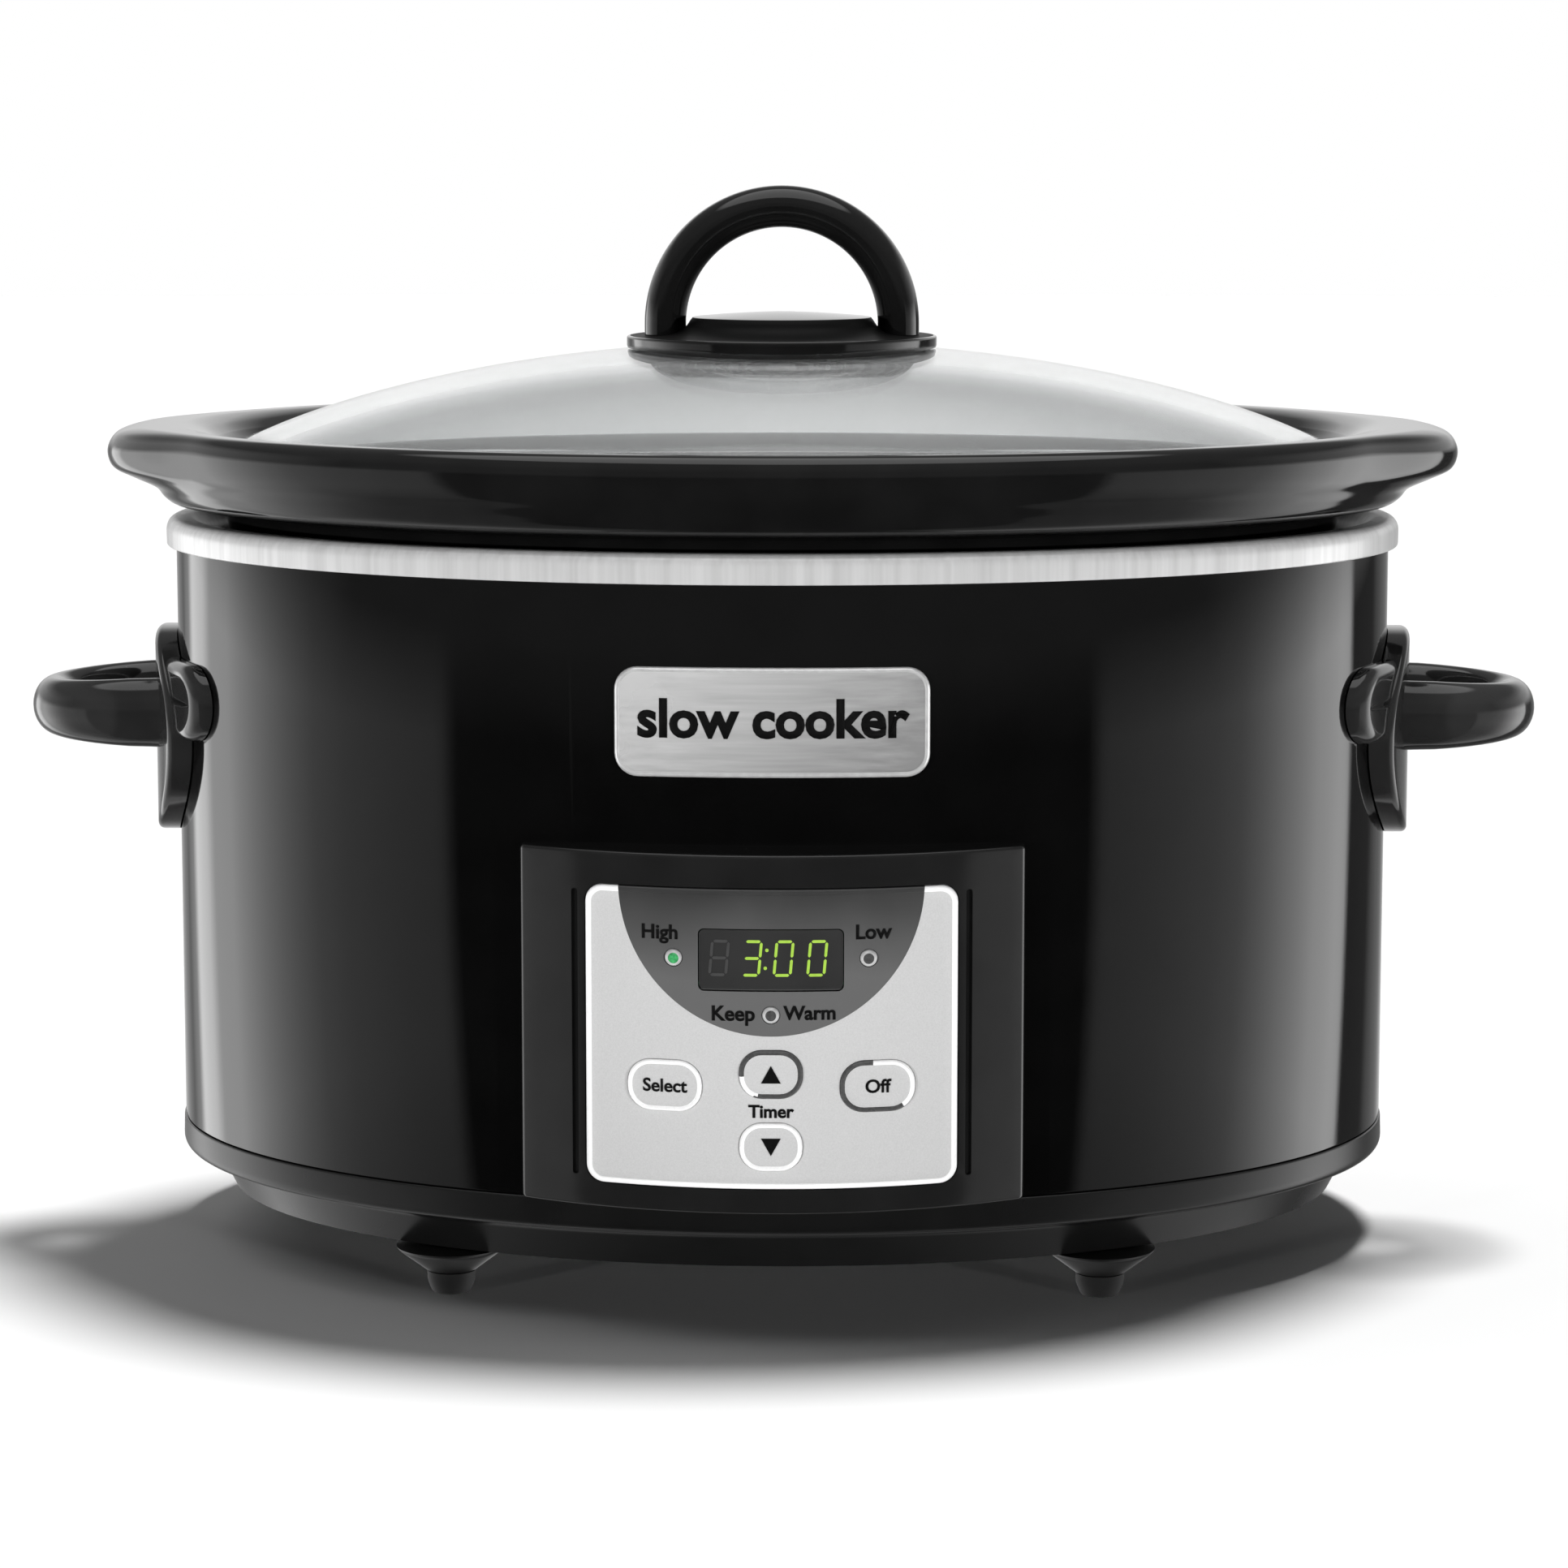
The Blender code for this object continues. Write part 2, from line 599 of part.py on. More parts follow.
def make_control_housing():
    housing = bowed_slab(
        "control_housing", HOUSING_HALF, HOUSING_LOW, HOUSING_HIGH,
        panel_y, lambda x: wall_y(x, GAP), "gloss_black", 24,
    )
    inner_half = HOUSING_HALF - HOUSING_WALL
    cavity = bowed_slab(
        "housing_cavity", inner_half, HOUSING_LOW + HOUSING_WALL, HOUSING_HIGH - HOUSING_WALL,
        lambda x: panel_y(x, -HOUSING_WALL), lambda x: -0.100, "gloss_black", 24,
    )
    pocket = bowed_slab(
        "fascia_pocket", 0.060, 0.030, 0.130,
        lambda x: panel_y(x, 0.006), lambda x: panel_y(x, FASCIA_PROUD - FASCIA_THICK - GAP), "gloss_black",
    )
    size = (2 * FASCIA_HALF + 2 * GAP, FASCIA_HIGH - FASCIA_LOW + 2 * GAP)
    outline = rounded_outline((0, PANEL_MID_Z), size, FASCIA_CORNER + GAP)
    combine(pocket, prism_y("pocket_outline", outline, -0.160, -0.110, "gloss_black"), "INTERSECT")
    opening = rounded_outline((0, PANEL_MID_Z), PANEL_OPENING, 0.004)
    cut(housing, cavity, pocket, prism_y("panel_opening", opening, -0.160, -0.125, "gloss_black"))
    for side in (-1, 1):
        slot = rounded_outline((side * SLOT_X, PANEL_MID_Z), SLOT_SIZE, 0.0006, 2)
        front = panel_y(SLOT_X)
        cut(housing, prism_y(f"slot{side}", slot, front - 0.005, front + 0.0012, "gloss_black"))


def make_fascia():
    fascia = bowed_slab(
        "control_fascia", 0.060, 0.030, 0.130,
        lambda x: panel_y(x, FASCIA_PROUD), lambda x: panel_y(x, FASCIA_PROUD - FASCIA_THICK), "silver_fascia",
    )
    size = (2 * FASCIA_HALF, FASCIA_HIGH - FASCIA_LOW)
    outline = rounded_outline((0, PANEL_MID_Z), size, FASCIA_CORNER)
    combine(fascia, prism_y("fascia_outline", outline, -0.160, -0.110, "silver_fascia"), "INTERSECT")
    window = rounded_outline((0, WINDOW_Z), WINDOW_SIZE, 0.0015, 3)
    cut(fascia, prism_y("window_hole", window, -0.160, -0.110, "silver_fascia"))
    for name, place in LED_PLACES.items():
        cut(fascia, rod_y(f"led_hole_{name}", place, LED_RADIUS + GAP, -0.160, -0.110, "silver_fascia"))
    for name, (place, size) in KEYS.items():
        hole_size = [side + 2 * KEY_GAP for side in size]
        hole = rounded_outline(place, hole_size, hole_size[1] / 2 - 0.0005, 4)
        cut(fascia, prism_y(f"key_hole_{name}", hole, -0.160, -0.110, "silver_fascia"))


def make_key(name):
    """One key: a bowed cap with its stem behind, its origin at the cap's middle."""
    (x, z), (width, height) = KEYS[name]
    front = panel_y(x, KEY_PROUD)
    outline = rounded_outline((x, z), (width, height), height / 2 - 0.0005, 4)
    rings = []
    for inset, proud in ((0.0006, KEY_PROUD), (0, KEY_PROUD - 0.0006), (0, KEY_PROUD - KEY_THICK)):
        scale = (1 - 2 * inset / width, 1 - 2 * inset / height)
        ring = [(x + (px - x) * scale[0], z + (pz - z) * scale[1]) for px, pz in outline]
        rings.append([(px, panel_y(px, proud), pz) for px, pz in ring])
    key = loft(f"key_{name}", rings, "silver_fascia", place=(x, front, z))
    stem = [(x + sx * 0.0020, z + sz * 0.0020) for sx, sz in ((-1, -1), (1, -1), (1, 1), (-1, 1))]
    join(key, prism_y(f"stem_{name}", stem, front + KEY_THICK - 0.0006, KEY_STEM_END, "silver_fascia"))


def make_display():
    size = [side - 2 * GAP for side in WINDOW_SIZE]
    outline = rounded_outline((0, WINDOW_Z), size, 0.0012, 3)
    window = bowed_slab(
        "display_window", 0.030, WINDOW_Z - 0.02, WINDOW_Z + 0.02,
        lambda x: panel_y(x, 0.0002), lambda x: panel_y(x, -0.0014), "smoked_window",
    )
    combine(window, prism_y("window_outline", outline, -0.160, -0.110, "smoked_window"), "INTERSECT")
    low = (-0.0170, -0.1362, WINDOW_Z - 0.0070)
    high = (0.0170, BOARD_FRONT - GAP, WINDOW_Z + 0.0070)
    block("display_module", low, high, "black_component")


def make_leds():
    turns = [2 * math.pi * i / 12 for i in range(12)]
    for name, (x, z) in LED_PLACES.items():
        front = panel_y(x, FASCIA_PROUD + 0.0005)
        finish = "green_lens" if name == "high" else "clear_lens"
        profile = (
            (0.0008, front), (0.0017, front + 0.0004),
            (LED_RADIUS, front + 0.0014), (LED_RADIUS, BOARD_FRONT - GAP),
        )
        rings = [[(x + r * math.cos(t), y, z + r * math.sin(t)) for t in turns] for r, y in profile]
        loft(f"led_{name}", rings, finish)


def make_control_board():
    low = (-0.0440, BOARD_FRONT, FASCIA_LOW + 0.0070)
    high = (0.0440, BOARD_FRONT + BOARD_THICK, FASCIA_HIGH - 0.0070)
    block("control_board", low, high, "green_board")
    for name, ((x, z), _) in KEYS.items():
        back = BOARD_FRONT - GAP
        low, high = (x - 0.0030, back - 0.0034, z - 0.0030), (x + 0.0030, back, z + 0.0030)
        switch = block(f"switch_{name}", low, high, "black_component")
        ends = (back - 0.0044, back - 0.0030)
        join(switch, rod_y(f"plunger_{name}", (x, z), 0.0016, *ends, "black_component", 10))


# What the casing holds

def liner_offset(z):
    """Offset of the liner's outer face at height z."""
    (top, top_z), (low, low_z) = LINER_OUTER_TOP, LINER_OUTER_LOW
    return low + (top - low) * (z - low_z) / (top_z - low_z)


def make_heater():
    low, high = 0.0860, 0.1240
    profile = [
        (liner_offset(low) + GAP, low), (liner_offset(high) + GAP, high),
        (liner_offset(high) + 0.0026, high), (liner_offset(low) + 0.0026, low),
    ]
    loft("heater_band", offset_rings(profile), "mica_band", closed=True)
    back = OVAL_B + liner_offset(high) + 0.0026 + GAP
    block("band_clamp", (-0.0090, back, 0.0900), (0.0090, back + 0.0030, 0.1200), "zinc_steel")
    fuse_y = OVAL_B + liner_offset(0.0800) + 0.0035
    rod_x("thermal_fuse", (fuse_y, 0.0800), 0.0022, -0.0090, 0.0090, "zinc_steel")
    turned("temperature_sensor", [(0.0050, 0.0590), (0.0065, 0.0600), (0.0065, 0.0672), (0.0050, 0.0675)],
           "zinc_steel", steps=16)


def make_heat_shield():
    plate = loft("heat_shield", offset_rings([(-0.0340, 0.0545), (-0.0340, 0.0557)], 40), "zinc_steel")
    for label, side in SIDES:
        hole = [(0.0032, 0.0500), (0.0032, 0.0600)]
        cut(plate, turned(f"shield_hole_{label}", hole, "zinc_steel", (side * BASE_SCREW_X, 0), 12))


def make_liner_straps():
    for label, side in SIDES:
        near, far = sorted((side * 0.0300, side * 0.1120))
        low, high = (near, -0.0080, STRAP_Z), (far, 0.0080, STRAP_Z + 0.0034)
        strap = block(f"liner_strap_{label}", low, high, "zinc_steel")
        hole = [(0.0023, 0.0600), (0.0023, 0.0700)]
        cut(strap, turned(f"strap_hole_{label}", hole, "zinc_steel", (side * BASE_SCREW_X, 0), 12))


def make_base_screws():
    profile = [(0.0034, 0.0105), (0.0044, 0.0112), (0.0045, FEET_TOP), (0.0020, FEET_TOP), (0.0020, 0.0670)]
    for label, side in SIDES:
        turned(f"base_screw_{label}", profile, "zinc_steel", (side * BASE_SCREW_X, 0), 12)


def make_power_board():
    top = POWER_BOARD_Z + BOARD_THICK
    seat = top + GAP
    block("power_board", (-0.0600, -0.0350, POWER_BOARD_Z), (0.0600, 0.0350, top), "green_board")
    block("transformer", (-0.0520, -0.0200, seat), (-0.0180, 0.0120, top + 0.0250), "black_component")
    block("relay", (0.0100, -0.0220, seat), (0.0290, -0.0070, top + 0.0160), "black_component")
    can = [(0.0055, seat), (0.0055, top + 0.0165), (0.0048, top + 0.0172)]
    turned("capacitor", can, "black_component", (0.0440, -0.0160))
    post = [(0.0035, BASE_FLOOR + GAP), (0.0030, POWER_BOARD_Z - GAP)]
    corners = ((-0.0550, -0.0300), (0.0550, -0.0300), (-0.0550, 0.0300), (0.0550, 0.0300))
    for number, corner in enumerate(corners, start=1):
        turned(f"board_post_{number}", post, "satin_black", corner, 12)


def make_cord_entry():
    back = OVAL_B
    centre = (0, GLAND_Z)
    gland = rod_y("cord_gland", centre, 0.0120, back + GAP, back + 0.0040, "satin_black", 24)
    neck = rod_y("gland_neck", centre, 0.0074, back - 0.0090, back + 0.0030, "satin_black", 20)
    nose = rod_y("gland_nose", centre, 0.0082, back + 0.0030, back + 0.0060, "satin_black", 20)
    join(gland, neck, nose)
    cut(gland, rod_y("gland_bore", centre, 0.0041, back - 0.0200, back + 0.0200, "satin_black"))
    block("terminal_block", (-0.0150, 0.0700, 0.0200), (0.0150, 0.0860, 0.0340), "black_component")


def main():
    clear_scene()
    make_outer_shell()
    make_heating_liner()
    make_base_tray()
    make_feet()
    make_badge()
    make_crock()
    make_lid_glass()
    make_lid_handle()
    make_lid_washer()
    make_lid_screw()
    for label, side in SIDES:
        make_side_handle(f"handle_{label}", side)
        make_handle_screws(label, side)
    make_control_housing()
    make_fascia()
    for name in KEYS:
        make_key(name)
    make_display()
    make_leds()
    make_control_board()
    make_heater()
    make_heat_shield()
    make_liner_straps()
    make_base_screws()
    make_power_board()
    make_cord_entry()


main()
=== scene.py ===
"""The looks of the oval countdown slow cooker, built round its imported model.

Metres, +Z up, the control panel faces -Y. Most pieces are set out about the oval's own axis, and
an offset is a distance outside the oval of the painted wall.
"""

import math

import bmesh
import bpy
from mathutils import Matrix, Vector


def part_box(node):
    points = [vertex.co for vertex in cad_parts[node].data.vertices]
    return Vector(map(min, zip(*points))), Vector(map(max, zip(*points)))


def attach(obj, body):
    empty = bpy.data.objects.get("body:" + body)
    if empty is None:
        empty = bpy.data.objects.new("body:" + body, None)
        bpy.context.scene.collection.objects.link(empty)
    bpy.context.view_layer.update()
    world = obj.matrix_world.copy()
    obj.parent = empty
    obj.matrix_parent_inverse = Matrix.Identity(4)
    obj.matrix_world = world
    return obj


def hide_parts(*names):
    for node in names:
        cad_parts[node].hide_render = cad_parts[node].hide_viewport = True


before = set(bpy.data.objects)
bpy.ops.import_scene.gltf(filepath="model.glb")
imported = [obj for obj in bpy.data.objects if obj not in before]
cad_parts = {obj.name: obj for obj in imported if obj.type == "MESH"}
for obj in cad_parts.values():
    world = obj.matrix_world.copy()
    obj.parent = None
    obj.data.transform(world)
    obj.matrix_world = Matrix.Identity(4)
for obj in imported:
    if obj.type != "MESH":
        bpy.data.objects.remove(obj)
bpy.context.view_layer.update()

wall_low, wall_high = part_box("outer_shell")

# The oval and the heights of the casing
OVAL_A = (wall_high.x - wall_low.x) / 2
OVAL_B = (wall_high.y - wall_low.y) / 2
OVAL_Y = (wall_high.y + wall_low.y) / 2
WALL_LOW = wall_low.z
WALL_TOP = wall_high.z
BASE_TOP = 0.0325
BASE_STEP = 0.0236
BASE_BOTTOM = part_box("base_tray")[0].z
FEET_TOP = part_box("foot_front_left")[1].z
RIM_LOW = 0.1922
RIM_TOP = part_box("heating_liner")[1].z
STEPS = 240
FIT = 0.0003
SHARP = 35

# The crock
CROCK_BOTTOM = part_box("crock")[0].z
LIP_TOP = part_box("crock")[1].z
CROCK_FLOOR = 0.0780
LEDGE = 0.2143
EAR_REACH = 0.0107
EAR_FLAT = 0.12
EAR_SPREAD = 0.46

# The lid: a dome over an oval edge, and the handle on its crown
LID_A = 0.1530
LID_B = 0.1130
LID_CROWN = 0.2473
LID_SPAN = 0.765
LID_RISE = 0.0798
GLASS = 0.0040
RING = 0.0429
RING_TOP = 0.2492
DISC = 0.0246
DISC_TOP = 0.2556
ARCH_Z = 0.2523
ARCH_RADIUS = 0.03225
ARCH_THICK = 0.00575
ARCH_DEEP = 0.0070

# The side handles
HANDLE_Z = 0.1463
PLATE_Z = 0.1399
PLATE_HALF = (0.040, 0.0286)
PLATE_PROUD = 0.0060
PLATE_EDGE = 0.0016
BOSS_SIZE = (0.110, 0.0208)
BOSS_Z = 0.1516
BOSS_PROUD = 0.0044
BOSS_EDGE = 0.0030
LOOP_ROOT = 0.1640
LOOP_HIGH = (0.0098, 0.0078)
LOOP_THICK = (0.0064, 0.0060)
LOOP_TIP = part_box("handle_right")[1].x - LOOP_THICK[1]
LOOP_WIDE = 0.0228
LOOP_ROUND = 0.0240
SCREW_Y = 0.0310

# The control panel: its front is an arc about PANEL_AXIS
PANEL_RADIUS = 0.1210
PANEL_FRONT = 0.1417
PANEL_AXIS = PANEL_RADIUS - PANEL_FRONT
HOUSING_HALF = 0.0645
HOUSING_LOW, HOUSING_HIGH = 0.0330, 0.1252
HOUSING_WALL = 0.0024
HOUSING_EDGE = 0.0009
FRONT_CUT = (-0.170, -0.110)
FASCIA_HALF = 0.0473
FASCIA_LOW, FASCIA_HIGH = 0.0396, 0.1166
FASCIA_SIZE = (2 * FASCIA_HALF, FASCIA_HIGH - FASCIA_LOW)
FASCIA_MID = (FASCIA_LOW + FASCIA_HIGH) / 2
FASCIA_CORNER = 0.0045
FASCIA_PROUD = 0.0006
FASCIA_THICK = 0.0020
FASCIA_TRIM = 0.0017
ZONE_CENTRE_Z, ZONE_RADIUS = 0.1178, 0.0388
WINDOW_SIZE = (0.0369, 0.0160)
WINDOW_Z = 0.0985
LED_PLACES = {"high": (-0.0247, 0.0988), "low": (0.0247, 0.0988), "keep_warm": (0.0, 0.0845)}
LED_RADIUS = 0.0022
WIDE_KEY, SMALL_KEY = (0.0190, 0.0132), (0.0160, 0.0124)
KEYS = {
    "select": ((-0.0270, 0.0659), WIDE_KEY),
    "off": ((0.0270, 0.0659), WIDE_KEY),
    "up": ((0.0, 0.0693), SMALL_KEY),
    "down": ((0.0, 0.0506), SMALL_KEY),
}
KEY_PROUD = 0.0010
KEY_THICK = 0.0026
KEY_RIM = 0.0012
KEY_EASE = 0.0005
KEY_STEM_HALF = 0.0020
KEY_STEM_END = -0.1346
SLOT_X = 0.0502
SLOT_SIZE = (0.0016, 0.0740)

# The badge
BADGE_SIZE = (0.0802, 0.0281)
BADGE_Z = 0.1572
BADGE_CORNER = 0.0060
BADGE_RIM = 0.0014

# The camera stands a little to the right of the panel's centre line and looks slightly down
CAMERA_DISTANCE = 1.335
CAMERA_HEIGHT = 0.310
CAMERA_PITCH = 0.1387
CAMERA_YAW = math.radians(1.1)
CAMERA_ASIDE = 0.0006
CAMERA_LENS = 110.35

# How bright the room is: just above table height in front and behind, higher up, straight overhead,
# and the share of it that is seen in the floor
ROOM_FRONT, ROOM_BACK, ROOM_HIGH, ROOM_OVER, ROOM_UNDER = 0.15, 1.0, 0.22, 1.5, 0.35


# Materials

# How a grain is stretched along each axis
UPRIGHT = (1, 1, 0.03)
ACROSS = (0.03, 1, 1)
EVEN = (1, 1, 1)


def node_of(tree, kind, **inputs):
    """A shader node with some of its sockets set, or linked where the value is another node's socket."""
    node = tree.nodes.new("ShaderNode" + kind)
    for name, value in inputs.items():
        socket = node.inputs[name.replace("_", " ")]
        if isinstance(value, bpy.types.NodeSocket):
            tree.links.new(value, socket)
        else:
            socket.default_value = value
    return node


def grain(tree, scale, stretch=EVEN):
    """Noise in the piece's own metres: scale is how many features there are to a metre."""
    place = tree.nodes.new("ShaderNodeTexCoord").outputs["Object"]
    mapping = node_of(tree, "Mapping", Vector=place, Scale=stretch)
    noise = node_of(tree, "TexNoise", Vector=mapping.outputs["Vector"], Scale=scale, Detail=3.0)
    return noise.outputs["Fac"]


def between(tree, factor, low, high, start=0.3, end=0.7):
    """The factor's middle range spread over low to high."""
    node = tree.nodes.new("ShaderNodeMapRange")
    tree.links.new(factor, node.inputs["Value"])
    node.inputs["From Min"].default_value = start
    node.inputs["From Max"].default_value = end
    node.inputs["To Min"].default_value = low
    node.inputs["To Max"].default_value = high
    return node.outputs["Result"]


def calculated(tree, operation, first, second):
    """A sum, product or the like of two sockets or numbers."""
    node = tree.nodes.new("ShaderNodeMath")
    node.operation = operation
    for socket, value in zip(node.inputs, (first, second)):
        if isinstance(value, bpy.types.NodeSocket):
            tree.links.new(value, socket)
        else:
            socket.default_value = value
    return node.outputs["Value"]


def blended(tree, share, low, high):
    """low where the share is 0, high where it is 1."""
    rise = calculated(tree, "SUBTRACT", high, low)
    return calculated(tree, "ADD", low, calculated(tree, "MULTIPLY", share, rise))


def mixed(tree, factor, dark, light):
    ramp = tree.nodes.new("ShaderNodeValToRGB")
    tree.links.new(factor, ramp.inputs["Fac"])
    ramp.color_ramp.elements[0].position = 0.3
    ramp.color_ramp.elements[1].position = 0.7
    ramp.color_ramp.elements[0].color = (*dark, 1)
    ramp.color_ramp.elements[1].color = (*light, 1)
    return ramp.outputs["Color"]


def finish(
    name, dark, light, rough, tone=(60, EVEN), wear=(25, EVEN), relief=None, fade=None, **constants
):
    """A surface whose colour drifts from dark to light and whose roughness drifts over a range.

    tone and wear are the (features to a metre, stretch) of those two, and relief, where there is
    any, is the (features to a metre, stretch, depth in metres) of its bumps. fade, where there is
    any, lightens the surface along a direction, between two distances.
    """
    material = bpy.data.materials.new(name)
    material.use_nodes = True
    tree = material.node_tree
    shader = tree.nodes["Principled BSDF"]
    drift = grain(tree, tone[0], stretch=tone[1])
    if fade:
        direction, start, end = fade
        place = tree.nodes.new("ShaderNodeTexCoord").outputs["Object"]
        along = tree.nodes.new("ShaderNodeVectorMath")
        along.operation = "DOT_PRODUCT"
        tree.links.new(place, along.inputs[0])
        along.inputs[1].default_value = direction
        share = between(tree, along.outputs["Value"], 0.25, 0.75, start, end)
        unevenness = calculated(tree, "SUBTRACT", drift, 0.5)
        drift = calculated(tree, "ADD", share, calculated(tree, "MULTIPLY", unevenness, 0.3))
    tree.links.new(mixed(tree, drift, dark, light), shader.inputs["Base Color"])
    tree.links.new(between(tree, grain(tree, wear[0], stretch=wear[1]), *rough), shader.inputs["Roughness"])
    if relief:
        features, stretch, depth = relief
        height = grain(tree, features, stretch=stretch)
        bump = node_of(tree, "Bump", Height=height, Distance=depth, Strength=1.0)
        tree.links.new(bump.outputs["Normal"], shader.inputs["Normal"])
    for socket, value in constants.items():
        shader.inputs[socket.replace("_", " ")].default_value = value
    return material


def grey(level):
    return (level, level, level)


def make_finishes():
    """Every finish by name. The names of the record's slots come first, and then a few more for details."""
    trim = {"tone": (1500, EVEN), "wear": (80, EVEN), "relief": (2200, EVEN, 3e-6)}
    made = [
        finish("painted_wall", grey(0.0010), grey(0.0018), (0.04, 0.06), relief=(260, EVEN, 4e-6), IOR=1.52),
        finish(
            "brushed_rim", grey(0.54), grey(0.66), (0.28, 0.40), tone=(420, UPRIGHT), wear=(700, UPRIGHT),
            relief=(1400, UPRIGHT, 4e-6), Metallic=0.30,
        ),
        finish("black_glaze", grey(0.004), grey(0.0065), (0.03, 0.06), relief=(55, EVEN, 2.5e-5), IOR=1.54),
        finish(
            "clear_glass", (0.86, 0.875, 0.875), (0.89, 0.90, 0.90), (0.0, 0.012), tone=(20, EVEN),
            IOR=1.50, Transmission_Weight=0.93,
        ),
        finish("gloss_black", grey(0.0040), grey(0.0060), (0.03, 0.07), relief=(180, EVEN, 4e-6), IOR=1.50),
        finish("panel_black", grey(0.008), grey(0.011), (0.10, 0.16), relief=(180, EVEN, 4e-6), IOR=1.50),
        finish("handle_black", grey(0.015), grey(0.021), (0.05, 0.10), relief=(120, EVEN, 8e-6), IOR=1.54),
        finish("dull_black", grey(0.0015), grey(0.0025), (0.45, 0.55), relief=(400, EVEN, 4e-6), IOR=1.2),
        finish("washer_steel", grey(0.40), grey(0.62), (0.20, 0.35), tone=(300, UPRIGHT), wear=(300, UPRIGHT),
               relief=(700, UPRIGHT, 8e-6), Metallic=0.35),
        finish("satin_black", grey(0.0045), grey(0.0065), (0.26, 0.36), relief=(900, EVEN, 8e-6), IOR=1.46),
        finish(
            "silver_fascia", grey(0.50), grey(0.56), (0.34, 0.44), tone=(2500, EVEN), wear=(60, EVEN),
            relief=(2200, EVEN, 3e-6), Metallic=0.10,
        ),
        # painted light: the fade makes the badge lighter towards its upper left and darker towards its lower
        # right, as the light falls on it
        finish(
            "badge_metal", grey(0.25), grey(0.52), (0.26, 0.38), tone=(700, ACROSS), wear=(45, EVEN),
            relief=(1500, ACROSS, 3e-6), fade=((-1, 0, 1), 0.10, 0.21), Metallic=0.20,
        ),
        finish("smoked_window", grey(0.024), grey(0.030), (0.14, 0.20), relief=(300, EVEN, 3e-6)),
        finish(
            "green_lens", (0.01, 0.10, 0.03), (0.06, 0.36, 0.12), (0.08, 0.14), tone=(1400, EVEN),
            Emission_Color=(0.08, 0.55, 0.20, 1), Emission_Strength=0.16, Coat_Weight=1.0,
        ),
        finish("clear_lens", grey(0.42), grey(0.54), (0.06, 0.12), tone=(700, EVEN), Coat_Weight=1.0),
        finish("black_rubber", grey(0.008), grey(0.014), (0.62, 0.80), relief=(1300, EVEN, 2e-5)),
        finish(
            "zinc_steel", (0.50, 0.50, 0.47), (0.66, 0.66, 0.63), (0.26, 0.44), tone=(500, EVEN),
            relief=(900, EVEN, 8e-6), Metallic=1.0,
        ),
        finish("green_board", (0.012, 0.085, 0.035), (0.02, 0.14, 0.055), (0.35, 0.50), tone=(500, EVEN),
               relief=(1200, EVEN, 1e-5)),
        finish("black_component", grey(0.014), grey(0.024), (0.40, 0.58), tone=(400, EVEN),
               relief=(1500, EVEN, 1.2e-5)),
        finish("mica_band", (0.30, 0.25, 0.16), (0.50, 0.43, 0.30), (0.45, 0.70), tone=(300, EVEN),
               relief=(500, EVEN, 4e-5)),
        finish("bright_trim", grey(0.84), grey(0.90), (0.22, 0.32), **trim),
        # painted shade: a dark copy of the bright trim for the parts of the key rims that lie in shade; it is
        # also the LED chips' own dark colour
        finish("painted_shade_and_chip", grey(0.045), grey(0.075), (0.24, 0.34), **trim),
        finish("smoky_zone", grey(0.035), grey(0.120), (0.30, 0.40), tone=(28, EVEN), wear=(60, EVEN),
               relief=(2200, EVEN, 3e-6), fade=((0, 0, -1), -0.1175, -0.0930), Metallic=0.1),
        finish("badge_edge", grey(0.66), grey(0.78), (0.16, 0.26), tone=(500, EVEN), Metallic=0.5,
               relief=(1500, EVEN, 4e-6)),
        finish("black_ink", grey(0.003), grey(0.005), (0.55, 0.65), tone=(1800, EVEN),
               relief=(3000, EVEN, 3e-6), IOR=1.3),
        finish("lit_digit", (0.16, 0.26, 0.03), (0.22, 0.33, 0.05), (0.40, 0.50), tone=(900, EVEN),
               Emission_Color=(0.33, 0.58, 0.05, 1), Emission_Strength=0.55),
        finish("unlit_digit", grey(0.045), grey(0.055), (0.25, 0.35), tone=(900, EVEN)),
        finish("floor_paper", grey(0.88), grey(0.90), (0.75, 0.85), tone=(6, EVEN), wear=(6, EVEN)),
    ]
    return {material.name: material for material in made}


for imported in list(bpy.data.materials):
    imported.name = "cad_" + imported.name
FINISHES = make_finishes()


# Making meshes

def all_round(steps):
    """Equal turns once round, in radians."""
    return [2 * math.pi * i / steps for i in range(steps)]


def loft(name, rings, *finishes, closed=False, sharp=SHARP):
    """A piece that skins a list of equal rings: capped at both ends, or closed back onto the first.

    Its faces point outward, and are smooth but for edges sharper than this many degrees.
    """
    count = len(rings[0])
    faces = []
    for k in range(len(rings) if closed else len(rings) - 1):
        here, after = k * count, (k + 1) % len(rings) * count
        for i in range(count):
            j = (i + 1) % count
            faces.append((here + i, here + j, after + j, after + i))
    if not closed:
        last = (len(rings) - 1) * count
        faces += [tuple(range(count)), tuple(range(last, last + count))]
    mesh = bpy.data.meshes.new(name)
    mesh.from_pydata([tuple(p) for ring in rings for p in ring], [], faces)
    obj = bpy.data.objects.new(name, mesh)
    bpy.context.scene.collection.objects.link(obj)
    for finish_name in finishes:
        mesh.materials.append(FINISHES[finish_name])
    work = bmesh.new()
    work.from_mesh(mesh)
    bmesh.ops.recalc_face_normals(work, faces=work.faces)
    for face in work.faces:
        face.smooth = True
    work.to_mesh(mesh)
    work.free()
    mesh.set_sharp_from_angle(angle=math.radians(sharp))
    return obj


